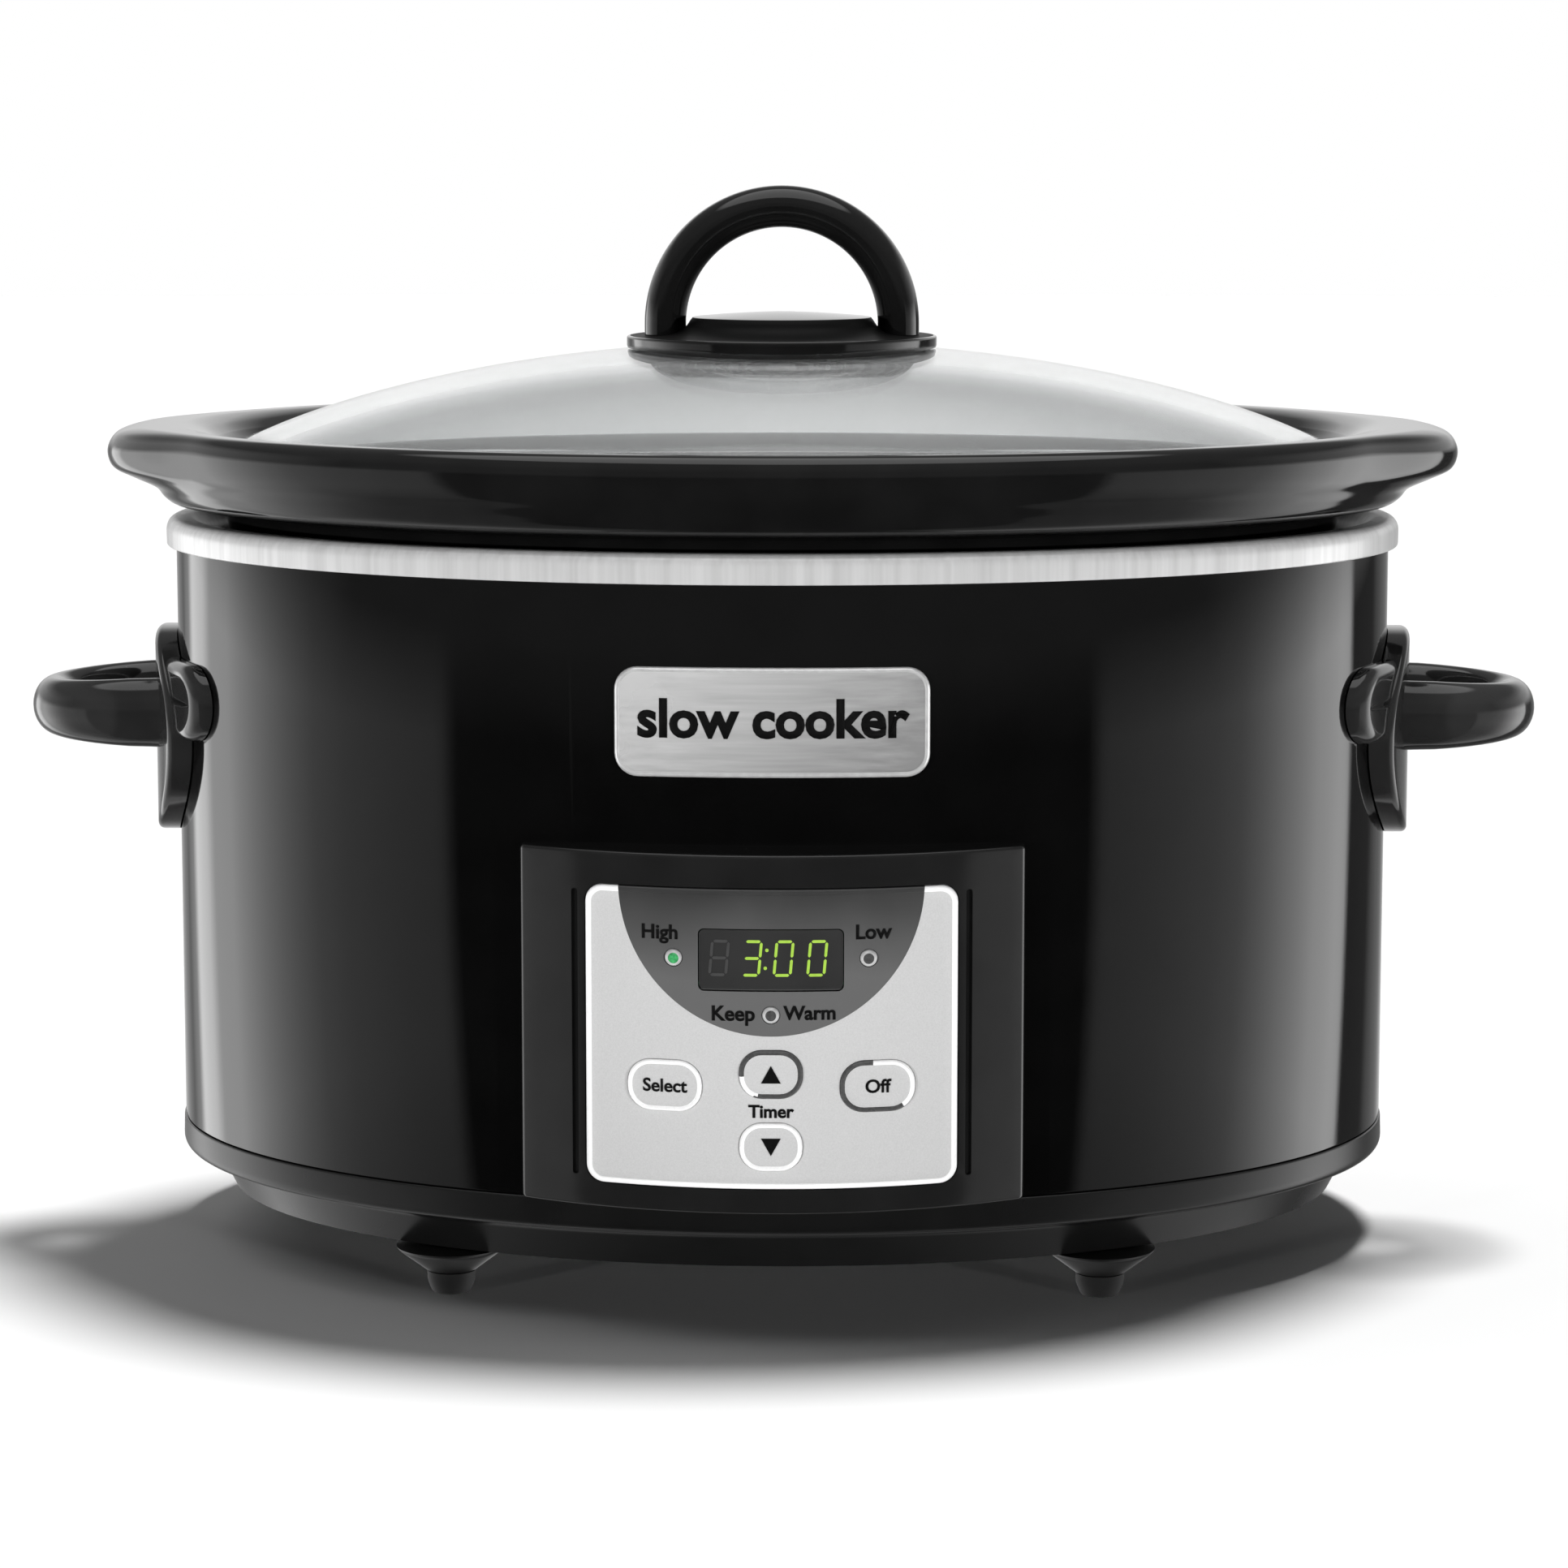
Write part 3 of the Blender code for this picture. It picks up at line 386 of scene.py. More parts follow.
def rounded(points, steps=5, closed=False):
    """A path through (values, cut) pairs. Each corner is rounded off, from cut before it to cut past it."""
    out = []
    count = len(points)
    for k, (value, cut) in enumerate(points):
        here = Vector(value)
        at_end = not closed and k in (0, count - 1)
        if at_end or not cut:
            out.append(here)
            continue
        before = Vector(points[k - 1][0]) - here
        after = Vector(points[(k + 1) % count][0]) - here
        start = here + before * min(cut / before.length, 0.5)
        end = here + after * min(cut / after.length, 0.5)
        for i in range(steps + 1):
            t = i / steps
            out.append(start * (1 - t) ** 2 + here * 2 * t * (1 - t) + end * t**2)
    return out


def flowing(points, steps=8):
    """A smooth path through every one of the points."""
    points = [Vector(point) for point in points]
    out = []
    for k in range(len(points) - 1):
        before, start = points[max(k - 1, 0)], points[k]
        end, after = points[k + 1], points[min(k + 2, len(points) - 1)]
        for i in range(steps):
            t = i / steps
            out.append(0.5 * (
                2 * start + (end - before) * t + (2 * before - 5 * start + 4 * end - after) * t**2
                + (3 * start - before - 3 * end + after) * t**3
            ))
    return out + [points[-1]]


def oval_rings(profile, steps=STEPS):
    """Rings about the oval's axis from (offset, z) pairs."""
    rings = []
    for offset, z in profile:
        a, b = OVAL_A + offset, OVAL_B + offset
        rings.append([(a * math.cos(t), OVAL_Y + b * math.sin(t), z) for t in all_round(steps)])
    return rings


def circle(centre, radius, steps=32):
    return [(centre[0] + radius * math.cos(t), centre[1] + radius * math.sin(t)) for t in all_round(steps)]


def turned_rings(profile, centre=(0, 0), steps=64):
    """Round rings about an upright line from (radius, z) pairs."""
    return [[(x, y, z) for x, y in circle(centre, radius, steps)] for radius, z in profile]


def outline(centre, size, corner, inset=0.0, spacing=0.002, corner_steps=8):
    """A rounded rectangle in the plane of the panel. Insets of one outline have equally many points."""
    half = (size[0] / 2 - inset, size[1] / 2 - inset)
    radius = max(corner - inset, 1e-5)
    flats = [max(1, round((side - 2 * corner) / spacing)) for side in size]
    corners = [(1, 1), (-1, 1), (-1, -1), (1, -1)]
    points = []
    for k, (sx, sz) in enumerate(corners):
        middle = (centre[0] + sx * (half[0] - radius), centre[1] + sz * (half[1] - radius))
        for i in range(corner_steps + 1):
            turn = math.pi / 2 * (k + i / corner_steps)
            points.append((middle[0] + radius * math.cos(turn), middle[1] + radius * math.sin(turn)))
        following = corners[(k + 1) % 4]
        end = (
            centre[0] + following[0] * (half[0] - radius) + radius * math.cos(math.pi / 2 * (k + 1)),
            centre[1] + following[1] * (half[1] - radius) + radius * math.sin(math.pi / 2 * (k + 1)),
        )
        start = points[-1]
        pieces = flats[k % 2]
        for i in range(1, pieces):
            points.append(tuple(share_of(pair, i / pieces) for pair in zip(start, end)))
    return points


def share_of(pair, share):
    """The value this share of the way from the first of a pair to the second."""
    return pair[0] + (pair[1] - pair[0]) * share


def outside(p, centre, half, corner):
    """Whether a point of the front lies outside a rounded rectangle with these half sizes."""
    across = max(abs(p.x - centre[0]) - (half[0] - corner), 0)
    along = max(abs(p.z - centre[1]) - (half[1] - corner), 0)
    return math.hypot(across, along) > corner


def panel_y(x, proud=0.0):
    """The control panel's bowed front, this far proud of the housing's own face."""
    radius = PANEL_RADIUS + proud
    return OVAL_Y + PANEL_AXIS - math.sqrt(radius * radius - x * x)


def wall_y(x, offset=0.0):
    a, b = OVAL_A + offset, OVAL_B + offset
    return OVAL_Y - b * math.sqrt(max(0.0, 1 - (x / a) ** 2))


def wall_x(y, offset=0.0):
    a, b = OVAL_A + offset, OVAL_B + offset
    return a * math.sqrt(max(0.0, 1 - (y / b) ** 2))


def rounded_over(edge, proud, steps):
    """The (inset, proud) levels of an edge rounded over up to a face this proud."""
    turns = [math.pi / 2 * k / steps for k in range(1, steps + 1)]
    return [(0.0, proud - edge)] + [
        (edge * (1 - math.cos(turn)), proud - edge + edge * math.sin(turn)) for turn in turns
    ]


def plate_rings(shape, levels, surface, back, fill=9):
    """Rings of a plate on a bowed surface: its back, the (inset, proud) levels of its edge, then its face."""
    centre, size, corner = shape
    rings = [[(x, back(x), z) for x, z in outline(centre, size, corner, levels[0][0])]]
    for inset, proud in levels:
        rings.append([(x, surface(x, proud), z) for x, z in outline(centre, size, corner, inset)])
    inset, proud = levels[-1]
    face = outline(centre, size, corner, inset)
    for k in range(1, fill):
        share = 1 - k / fill
        shrunk = [(share_of((centre[0], x), share), share_of((centre[1], z), share)) for x, z in face]
        rings.append([(x, surface(x, proud), z) for x, z in shrunk])
    return rings


def prism(shape, front, back):
    """A cutter with this outline, from y = front to y = back."""
    return loft("cutter", [[(x, y, z) for x, z in shape] for y in (front, back)])


def bowed_block(half, low, high, front, back, columns=48):
    """A slab from z = low to high between two bowed surfaces y = front(x) and y = back(x)."""
    xs = [half * (2 * i / columns - 1) for i in range(columns + 1)]
    shape = [(x, front(x)) for x in xs] + [(x, back(x)) for x in reversed(xs)]
    return loft("block", [[(x, y, z) for x, y in shape] for z in (low, high)])


def combined(obj, others, operation):
    """obj with the others cut away, or kept only where they are, as one plain mesh."""
    for other in others:
        modifier = obj.modifiers.new("cut", "BOOLEAN")
        modifier.operation = operation
        modifier.solver = "EXACT"
        modifier.object = other
    bpy.context.view_layer.update()
    evaluated = obj.evaluated_get(bpy.context.evaluated_depsgraph_get())
    mesh = bpy.data.meshes.new_from_object(evaluated)
    obj.modifiers.clear()
    obj.data = mesh
    for other in others:
        bpy.data.objects.remove(other)
    for polygon in mesh.polygons:
        polygon.use_smooth = True
    mesh.set_sharp_from_angle(angle=math.radians(SHARP))
    return obj


def carve(obj, *cutters):
    return combined(obj, cutters, "DIFFERENCE")


def keep_common(obj, *others):
    return combined(obj, others, "INTERSECT")


def merge(name, parts):
    """Several mesh objects as one, each keeping its materials."""
    finishes = []
    work = bmesh.new()
    for part in parts:
        offset = len(finishes)
        finishes += list(part.data.materials)
        before = len(work.faces)
        work.from_mesh(part.data)
        work.faces.ensure_lookup_table()
        for face in work.faces[before:]:
            face.material_index += offset
    mesh = bpy.data.meshes.new(name)
    work.to_mesh(mesh)
    work.free()
    for material in finishes:
        mesh.materials.append(material)
    for part in parts:
        bpy.data.objects.remove(part)
    obj = bpy.data.objects.new(name, mesh)
    bpy.context.scene.collection.objects.link(obj)
    return obj


def place(obj, body, slot_name, *nodes):
    """Hangs a finished piece on the empty of the body it rides on and hides the CAD nodes it stands for;
    slot_name is not used.
    """
    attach(obj, body)
    if nodes:
        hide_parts(*nodes)
    return obj


def paint(obj, finish_name, test):
    """Gives the faces whose middle passes the test another finish."""
    obj.data.materials.append(FINISHES[finish_name])
    index = len(obj.data.materials) - 1
    for polygon in obj.data.polygons:
        if test(polygon.center):
            polygon.material_index = index


# Casing

def make_wall():
    edge = 0.0003
    profile = rounded([
        ((0, WALL_LOW), edge), ((0, WALL_TOP), edge), ((-0.001, WALL_TOP), edge), ((-0.001, WALL_LOW), edge),
    ], 2, closed=True)
    wall = loft("wall", oval_rings(profile), "painted_wall", closed=True)
    cutters = [prism(outline((0, FASCIA_MID), (0.100, 0.072), 0.006), -0.160, -0.080)]
    cutters.append(prism(circle((0, 0.05), 0.0080), 0.110, 0.140))
    for side in (-1, 1):
        for screw_y in (-SCREW_Y, SCREW_Y):
            ring = circle((OVAL_Y + screw_y, HANDLE_Z), 0.0024)
            cutters.append(loft("cutter", [[(side * x, y, z) for y, z in ring] for x in (0.140, 0.175)]))
    place(carve(wall, *cutters), "housing", "painted_wall", "outer_shell")


def make_liner():
    profile = rounded([
        ((-0.0345, 0.0678), 0), ((-0.0248, 0.0740), 0.004), ((-0.0068, 0.1960), 0.001),
        ((-0.0040, 0.1988), 0.0006), ((0.0004, 0.1988), 0.0006), ((0.0014, 0.1972), 0.0005),
        ((0.0014, RIM_LOW), 0.0003), ((0.0026, RIM_LOW), 0.0006), ((0.0027, 0.1979), 0.0018),
        ((0.0008, RIM_TOP), 0.0014), ((-0.0048, RIM_TOP), 0.0016), ((-0.0080, 0.1960), 0.002),
        ((-0.0260, 0.0740), 0.004), ((-0.0350, 0.0690), 0),
    ])
    place(loft("liner", oval_rings(profile), "brushed_rim"), "housing", "brushed_rim", "heating_liner")


def make_base():
    profile = rounded([
        ((-0.0135, BASE_BOTTOM), 0.0008), ((-0.0088, 0.0222), 0.0012), ((-0.0060, BASE_STEP), 0.0008),
        ((-0.0008, BASE_STEP + 0.0004), 0.0012), ((0.0006, 0.0256), 0.0014), ((0.0004, BASE_TOP), 0.0006),
        ((-0.0014, BASE_TOP), 0.0002), ((-0.0014, 0.0372), 0.0003), ((-0.0034, 0.0372), 0.0003),
        ((-0.0034, 0.0266), 0.001), ((-0.0095, 0.0245), 0.001), ((-0.0155, 0.0155), 0.0006),
    ])
    base = loft("base", oval_rings(profile), "satin_black")
    holes = [loft("cutter", turned_rings([(0.0026, 0.005), (0.0026, 0.030)], (x, OVAL_Y), 24))
             for x in (-0.1, 0.1)]
    place(carve(base, *holes), "housing", "satin_black", "base_tray")


def make_feet():
    cone = rounded([((0.0066, 0.0062), 0.0004), ((0.0140, 0.0118), 0.0012), ((0.0145, FEET_TOP), 0)])
    pad = rounded([
        ((0.0030, 0.0), 0), ((0.0050, 0.0), 0.0008), ((0.0064, 0.0034), 0.0014), ((0.0064, 0.0059), 0),
    ])
    for end in ("front", "rear"):
        for side in ("left", "right"):
            label = f"{end}_{side}"
            low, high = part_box(f"foot_{label}")
            centre = ((low.x + high.x) / 2, (low.y + high.y) / 2)
            foot = loft(f"foot_{label}_cone", turned_rings(cone, centre), "satin_black")
            place(foot, "housing", "satin_black", f"foot_{label}")
            tip = loft(f"foot_{label}_tip", turned_rings(pad, centre), "black_rubber")
            place(tip, "housing", "black_rubber", f"foot_pad_{label}")


def make_badge():
    levels = [
        (0.0, 0.0004), (0.0, 0.0008), (0.0002, 0.0012), (0.0006, 0.0015), (0.0010, 0.0014),
        (0.0013, 0.0011), (0.0016, 0.0010),
    ]
    shape = ((0, BADGE_Z), BADGE_SIZE, BADGE_CORNER)
    rings = plate_rings(shape, levels, wall_y, lambda x: wall_y(x, FIT))
    badge = loft("badge_plate", rings, "badge_metal")
    half = [side / 2 - BADGE_RIM for side in BADGE_SIZE]
    paint(badge, "badge_edge", lambda p: outside(p, (0, BADGE_Z), half, BADGE_CORNER - BADGE_RIM))
    place(badge, "housing", "badge_metal", "badge")
    words = lettering("badge_words", "slow cooker", 0.0, BADGE_Z - 0.0036, 0.0136, wall_y, 0.00106, 0.00042)
    place(words, "housing", "black_component")


# Lettering

def lettering(name, words, x, z, size, surface, proud, weight=0.0, thick=0.00008):
    """Plain words in black ink laid on a bowed surface: x is their middle and z their base line."""
    curve = bpy.data.curves.new(name, "FONT")
    curve.body = words
    curve.size = size
    curve.align_x = "CENTER"
    curve.offset = weight
    curve.resolution_u = 4
    source = bpy.data.objects.new(name, curve)
    bpy.context.scene.collection.objects.link(source)
    bpy.context.view_layer.update()
    mesh = bpy.data.meshes.new_from_object(source.evaluated_get(bpy.context.evaluated_depsgraph_get()))
    bpy.data.objects.remove(source)
    work = bmesh.new()
    work.from_mesh(mesh)
    bmesh.ops.remove_doubles(work, verts=work.verts, dist=1e-7)
    bmesh.ops.triangulate(work, faces=work.faces)
    raised = bmesh.ops.extrude_face_region(work, geom=list(work.faces))["geom"]
    tops = {v for v in raised if isinstance(v, bmesh.types.BMVert)}
    for vert in work.verts:
        px, pz = x + vert.co.x, z + vert.co.y
        vert.co = (px, surface(px, proud + (thick if vert in tops else -thick)), pz)
    bmesh.ops.recalc_face_normals(work, faces=work.faces)
    work.to_mesh(mesh)
    work.free()
    mesh.materials.clear()
    mesh.materials.append(FINISHES["black_ink"])
    obj = bpy.data.objects.new(name, mesh)
    bpy.context.scene.collection.objects.link(obj)
    return obj


# Crock and lid

def ear_bulge(turn):
    """How far the lip is drawn out into an ear at this turn: 1 at either end, 0 along the sides."""
    away = (abs(math.sin(turn)) - EAR_FLAT) / (EAR_SPREAD - EAR_FLAT)
    return (1 + math.cos(math.pi * min(max(away, 0), 1))) / 2


def make_crock():
    """The stoneware pot: each point of its profile is (offset, z, how much of the ear it takes)."""
    bowl_outside = rounded([
        ((-0.0460, CROCK_BOTTOM, 0), 0), ((-0.0335, 0.0850, 0), 0.012), ((-0.0150, 0.1960, 0), 0.003),
        ((-0.0125, 0.2030, 0), 0.003), ((-0.0040, 0.2037, 0), 0),
    ])
    lip = flowing([
        (-0.0040, 0.2037, 0), (0.0006, 0.2041, 0), (0.0030, 0.2058, 0.02), (0.0046, 0.2085, 0.10),
        (0.0057, 0.2110, 0.55), (0.0068, 0.2134, 0.93), (0.0075, 0.2168, 1.03), (0.0076, 0.2202, 0.98),
        (0.0067, 0.2231, 0.84), (0.0046, 0.2247, 0.56), (0.0016, LIP_TOP, 0.28), (-0.0022, 0.2247, 0.06),
        (-0.0070, 0.2233, 0), (-0.0112, 0.2210, 0),
    ])
    inside = rounded([
        ((-0.0112, 0.2210, 0), 0), ((-0.0130, 0.2190, 0), 0.0016), ((-0.0138, LEDGE, 0), 0.0012),
        ((-0.0186, LEDGE - 0.0005, 0), 0.0016), ((-0.0222, 0.2070, 0), 0.0030), ((-0.0400, 0.0940, 0), 0.010),
        ((-0.0450, 0.0825, 0), 0.006), ((-0.0560, CROCK_FLOOR, 0), 0),
    ])
    rings = []
    for offset, z, ear in bowl_outside + lip[1:] + inside[1:]:
        ring = []
        for turn in all_round(STEPS):
            reach = OVAL_A + offset + EAR_REACH * ear * ear_bulge(turn)
            ring.append((reach * math.cos(turn), OVAL_Y + (OVAL_B + offset) * math.sin(turn), z))
        rings.append(ring)
    place(loft("stoneware_crock", rings, "black_glaze", sharp=60), "crock", "black_glaze", "crock")


def dome_z(x, y):
    """Height of the glass's upper face over a point measured from the oval's axis."""
    share = min(1.0, (x / LID_A) ** 2 + (y / LID_B) ** 2)
    return LID_CROWN - LID_RISE * (1 - math.sqrt(1 - LID_SPAN**2 * share))


def dome_ring(share, drop):
    ring = []
    for turn in all_round(STEPS):
        x, y = share * LID_A * math.cos(turn), share * LID_B * math.sin(turn)
        ring.append((x, OVAL_Y + y, dome_z(x, y) - drop))
    return ring


def make_glass():
    hole, rim, count = 0.05, 0.975, 26
    shares = [hole + (rim - hole) * k / count for k in range(count + 1)]
    rings = [dome_ring(share, 0) for share in shares]
    for k in range(1, 9):
        turn = math.pi * k / 9
        rings.append(dome_ring(rim + 0.019 * math.sin(turn), GLASS * (1 - math.cos(turn)) / 2))
    rings += [dome_ring(share, GLASS) for share in reversed(shares)]
    glass = loft("glass_dome", rings, "clear_glass", closed=True, sharp=180)
    glass.visible_shadow = False
    place(glass, "lid", "clear_glass", "lid_glass")


def crown_ring(radius, z=None, lift=0.0, steps=96):
    """A round ring at height z or, where none is given, lift above the glass all the way round."""
    flat = circle((0, 0), radius, steps)
    return [(x, OVAL_Y + y, dome_z(x, y) + lift if z is None else z) for x, y in flat]


def arch(stations=72, sides=32, leg=0.0042):
    """The upright half ring, its legs run down into the disc below."""
    turns = [math.pi * i / stations for i in range(stations + 1)]
    rings = []
    for turn, drop in [(0, leg)] + [(t, 0) for t in turns] + [(math.pi, leg)]:
        ring = []
        for a in all_round(sides):
            radius = ARCH_RADIUS + ARCH_THICK * math.cos(a)
            z = ARCH_Z - drop + radius * math.sin(turn)
            ring.append((radius * math.cos(turn), OVAL_Y + ARCH_DEEP * math.sin(a), z))
        rings.append(ring)
    return loft("arch", rings, "gloss_black")


def make_lid_handle():
    under = [crown_ring(r, lift=FIT) for r in (0.0060, 0.0140, 0.0280, 0.0380, RING - 0.0008)]
    under += [crown_ring(RING - 0.0002, lift=0.0005), crown_ring(RING, lift=0.0011)]
    edge = rounded([((RING, 0.2478), 0), ((RING, RING_TOP), 0.0009), ((0.0402, RING_TOP - 0.0001), 0)])
    slope = flowing([
        (0.0402, RING_TOP - 0.0001), (0.0350, 0.2492), (0.0300, 0.2499), (0.0268, 0.2514), (0.0254, 0.2532),
    ])
    disc = rounded([
        ((0.0254, 0.2532), 0), ((DISC, 0.2542), 0.0005), ((0.0140, 0.2551), 0.005), ((0.0040, DISC_TOP), 0),
    ], 6)
    rings = under + [crown_ring(r, z) for r, z in edge + slope[1:] + disc[1:]]
    base = loft("knob_base", rings, "gloss_black")

    def on_slope(p):
        return p.z > RING_TOP - 0.0005 and DISC < math.hypot(p.x, p.y - OVAL_Y) < 0.0412

    paint(base, "dull_black", on_slope)
    place(merge("lid_arch_handle", [base, arch()]), "lid", "gloss_black", "lid_handle")


def make_washer():
    """The steel plate under the glass, with a counterbore round the screw's head."""
    drop = -GLASS - 0.0007
    low = 0.2384
    seat = 0.2411
    rings = [crown_ring(radius, lift=drop - down) for radius, down in (
        (0.0026, 0), (0.0140, 0), (0.0260, 0), (0.0345, 0), (0.0353, 0.0002), (0.0355, 0.0007),
        (0.0352, 0.0011),
    )]
    rings += [crown_ring(radius, z) for radius, z in (
        (0.0310, low + 0.0002), (0.0056, low), (0.0050, low + 0.0005), (0.0050, seat), (0.0026, seat),
    )]
    place(loft("under_washer", rings, "washer_steel", closed=True), "lid", "zinc_steel", "lid_washer")


# Side handles

def loop_stations(side, steps=44, leg_steps=8):
    """Along the loop: the middle line, its normal in plan, and how near the tip it is, from 0 to 1."""
    straight = LOOP_TIP - LOOP_ROUND
    start = LOOP_ROOT - 0.0010
    leg_share = 0.2
    leg = []
    for k in range(leg_steps):
        share = k / leg_steps
        leg.append((share_of((start, straight), share), -LOOP_WIDE, 0, -1, leg_share * share))
    bend = []
    for i in range(steps + 1):
        turn = math.pi * (i / steps - 0.5)
        nx, ny = LOOP_WIDE * math.cos(turn), LOOP_ROUND * math.sin(turn)
        size = math.hypot(nx, ny)
        x, y = straight + LOOP_ROUND * math.cos(turn), LOOP_WIDE * math.sin(turn)
        bend.append((x, y, nx / size, ny / size, share_of((leg_share, 1), math.cos(turn))))
    back = [(x, -y, nx, -ny, tip) for x, y, nx, ny, tip in reversed(leg)]
    return [(side * x, y, side * nx, ny, tip) for x, y, nx, ny, tip in leg + bend + back]


def handle_loop(side, sides=32):
    """The loop, its section spread where it meets the plate."""
    rings = []
    for x, y, nx, ny, tip in loop_stations(side):
        root = max(0.0, 1 - (abs(x) - LOOP_ROOT) / 0.0085) ** 2
        high = share_of(LOOP_HIGH, tip) + 0.0012 * root
        thick = share_of(LOOP_THICK, tip) + 0.0022 * root
        ring = []
        for t in all_round(sides):
            out = thick * math.cos(t)
            ring.append((x + nx * out, OVAL_Y + y + ny * out, HANDLE_Z + high * math.sin(t)))
        rings.append(ring)
    return loft("loop", rings, "handle_black")


def plate_outline(inset, share):
    """The oval plate, drawn in by an inset and then to a share of its size."""
    wide, high = ((half - inset) * share for half in PLATE_HALF)
    return [(wide * math.cos(t), PLATE_Z + high * math.sin(t)) for t in all_round(96)]


def boss_outline(inset, share):
    """The long bar behind the plate, drawn in by an inset and then to a share of its height."""
    shape = outline((0, BOSS_Z), BOSS_SIZE, BOSS_SIZE[1] / 2 - 0.0001, inset)
    return [(y, share_of((BOSS_Z, z), share)) for y, z in shape]


def end_pad(side, outline_at, proud, edge, fill=12):
    """A pad wrapped on the end wall, with its edge rounded over."""
    rings = []
    for inset, lift in [(0.0, 0.0)] + rounded_over(edge, proud, 6):
        rings.append([(side * wall_x(y, FIT + lift), OVAL_Y + y, z) for y, z in outline_at(inset, 1)])
    for k in range(1, fill):
        flat = outline_at(edge, 1 - k / fill)
        rings.append([(side * wall_x(y, FIT + proud), OVAL_Y + y, z) for y, z in flat])
    return loft("pad", rings, "handle_black")


def make_side_handles():
    for label, side in (("left", -1), ("right", 1)):
        plate = end_pad(side, plate_outline, PLATE_PROUD, PLATE_EDGE)
        boss = end_pad(side, boss_outline, BOSS_PROUD, BOSS_EDGE)
        handle = merge(f"side_handle_{label}", [plate, boss, handle_loop(side)])
        place(handle, "housing", "gloss_black", f"handle_{label}")


# Control panel

def make_housing():
    levels = rounded_over(HOUSING_EDGE, 0.0, 5)
    shape = ((0, (HOUSING_LOW + HOUSING_HIGH) / 2), (2 * HOUSING_HALF, HOUSING_HIGH - HOUSING_LOW), 0.0012)
    rings = plate_rings(shape, levels, panel_y, lambda x: wall_y(x, FIT), fill=20)
    housing = loft("panel_housing", rings, "panel_black")
    inner = HOUSING_HALF - HOUSING_WALL
    cavity = bowed_block(
        inner, HOUSING_LOW + HOUSING_WALL, HOUSING_HIGH - HOUSING_WALL,
        lambda x: panel_y(x, -HOUSING_WALL), lambda x: -0.090,
    )
    pocket = bowed_block(0.060, 0.030, 0.130, lambda x: panel_y(x, 0.006), lambda x: panel_y(x, -0.0017))
    size = [side + 2 * FIT for side in FASCIA_SIZE]
    keep_common(pocket, prism(outline((0, FASCIA_MID), size, FASCIA_CORNER + FIT), *FRONT_CUT))
    opening = prism(outline((0, FASCIA_MID), (0.0840, 0.0720), 0.004), -0.170, -0.120)
    carve(housing, cavity, pocket, opening)
    slots = []
    for side in (-1, 1):
        front = panel_y(SLOT_X)
        slot = outline((side * SLOT_X, FASCIA_MID), SLOT_SIZE, 0.0007, spacing=0.01, corner_steps=4)
        slots.append(prism(slot, front - 0.005, front + 0.0012))
    place(carve(housing, *slots), "housing", "gloss_black", "control_housing")


def key_hole(name, gap):
    (x, z), size = KEYS[name]
    hole = [side + 2 * gap for side in size]
    return prism(outline((x, z), hole, hole[1] / 2 - KEY_EASE), *FRONT_CUT)


def make_fascia():
    levels = [
        (0.0, -0.0002), (0.0001, 0.0001), (0.0004, 0.0004), (0.0009, 0.0006), (0.0013, 0.00055),
        (0.0015, 0.0003), (FASCIA_TRIM, 0.0002),
    ]
    shape = ((0, FASCIA_MID), FASCIA_SIZE, FASCIA_CORNER)
    rings = plate_rings(shape, levels, panel_y, lambda x: panel_y(x, FASCIA_PROUD - FASCIA_THICK), fill=20)
    fascia = loft("fascia_plate", rings, "silver_fascia")
    trim = FASCIA_TRIM - 0.0002
    half = [side / 2 - trim for side in FASCIA_SIZE]
    paint(fascia, "bright_trim", lambda p: outside(p, (0, FASCIA_MID), half, FASCIA_CORNER - FASCIA_TRIM))
    cutters = [prism(outline((0, WINDOW_Z), WINDOW_SIZE, 0.0015), *FRONT_CUT)]
    cutters += [prism(circle(spot, LED_RADIUS + 0.00015), *FRONT_CUT) for spot in LED_PLACES.values()]
    cutters += [key_hole(name, 0.00012) for name in KEYS]
    carve(fascia, *cutters)
    zone = circle((0, ZONE_CENTRE_Z), ZONE_RADIUS, 128)
    dark = fascia.copy()
    dark.data = fascia.data.copy()
    bpy.context.scene.collection.objects.link(dark)
    keep_common(dark, prism(zone, *FRONT_CUT))
    dark.data.materials.clear()
    dark.data.materials.append(FINISHES["smoky_zone"])
    for polygon in dark.data.polygons:
        polygon.material_index = 0
    carve(fascia, prism(zone, *FRONT_CUT))
    place(merge("fascia", [fascia, dark]), "housing", "silver_fascia", "control_fascia")


LABELS = [
    ("High", -0.0282, 0.1036, 0.0051), ("Low", 0.0258, 0.1038, 0.0052), ("Keep", -0.0096, 0.0831, 0.0053),
    ("Warm", 0.0099, 0.0834, 0.0050), ("Timer", 0.0, 0.0582, 0.0046),
]
KEY_LABELS = {"select": ("Select", 0.0047), "off": ("Off", 0.0048)}


def make_labels():
    for words, x, z, size in LABELS:
        label = lettering(f"label_{words.lower()}", words, x, z, size, panel_y, 0.00026, 0.00013)
        place(label, "housing", "black_component")


def triangle(name, x, z, size, up):
    """A solid black triangle laid on the panel."""
    tip = size * 0.45 * (1 if up else -1)
    corners = [(x - size / 2, z - tip), (x + size / 2, z - tip), (x, z + tip)]
    rings = [[(px, panel_y(px, proud), pz) for px, pz in corners] for proud in (0.0004, 0.00078)]
    return loft(name, rings, "black_ink")


def key_rim_is_dark(name, turn):
    """Which parts of the rims of Up and Off lie in shade, by the turn round the key in degrees."""
    if name == "up":
        return not 185 < turn < 235
    if name == "off":
        return 100 < turn < 320
    return False


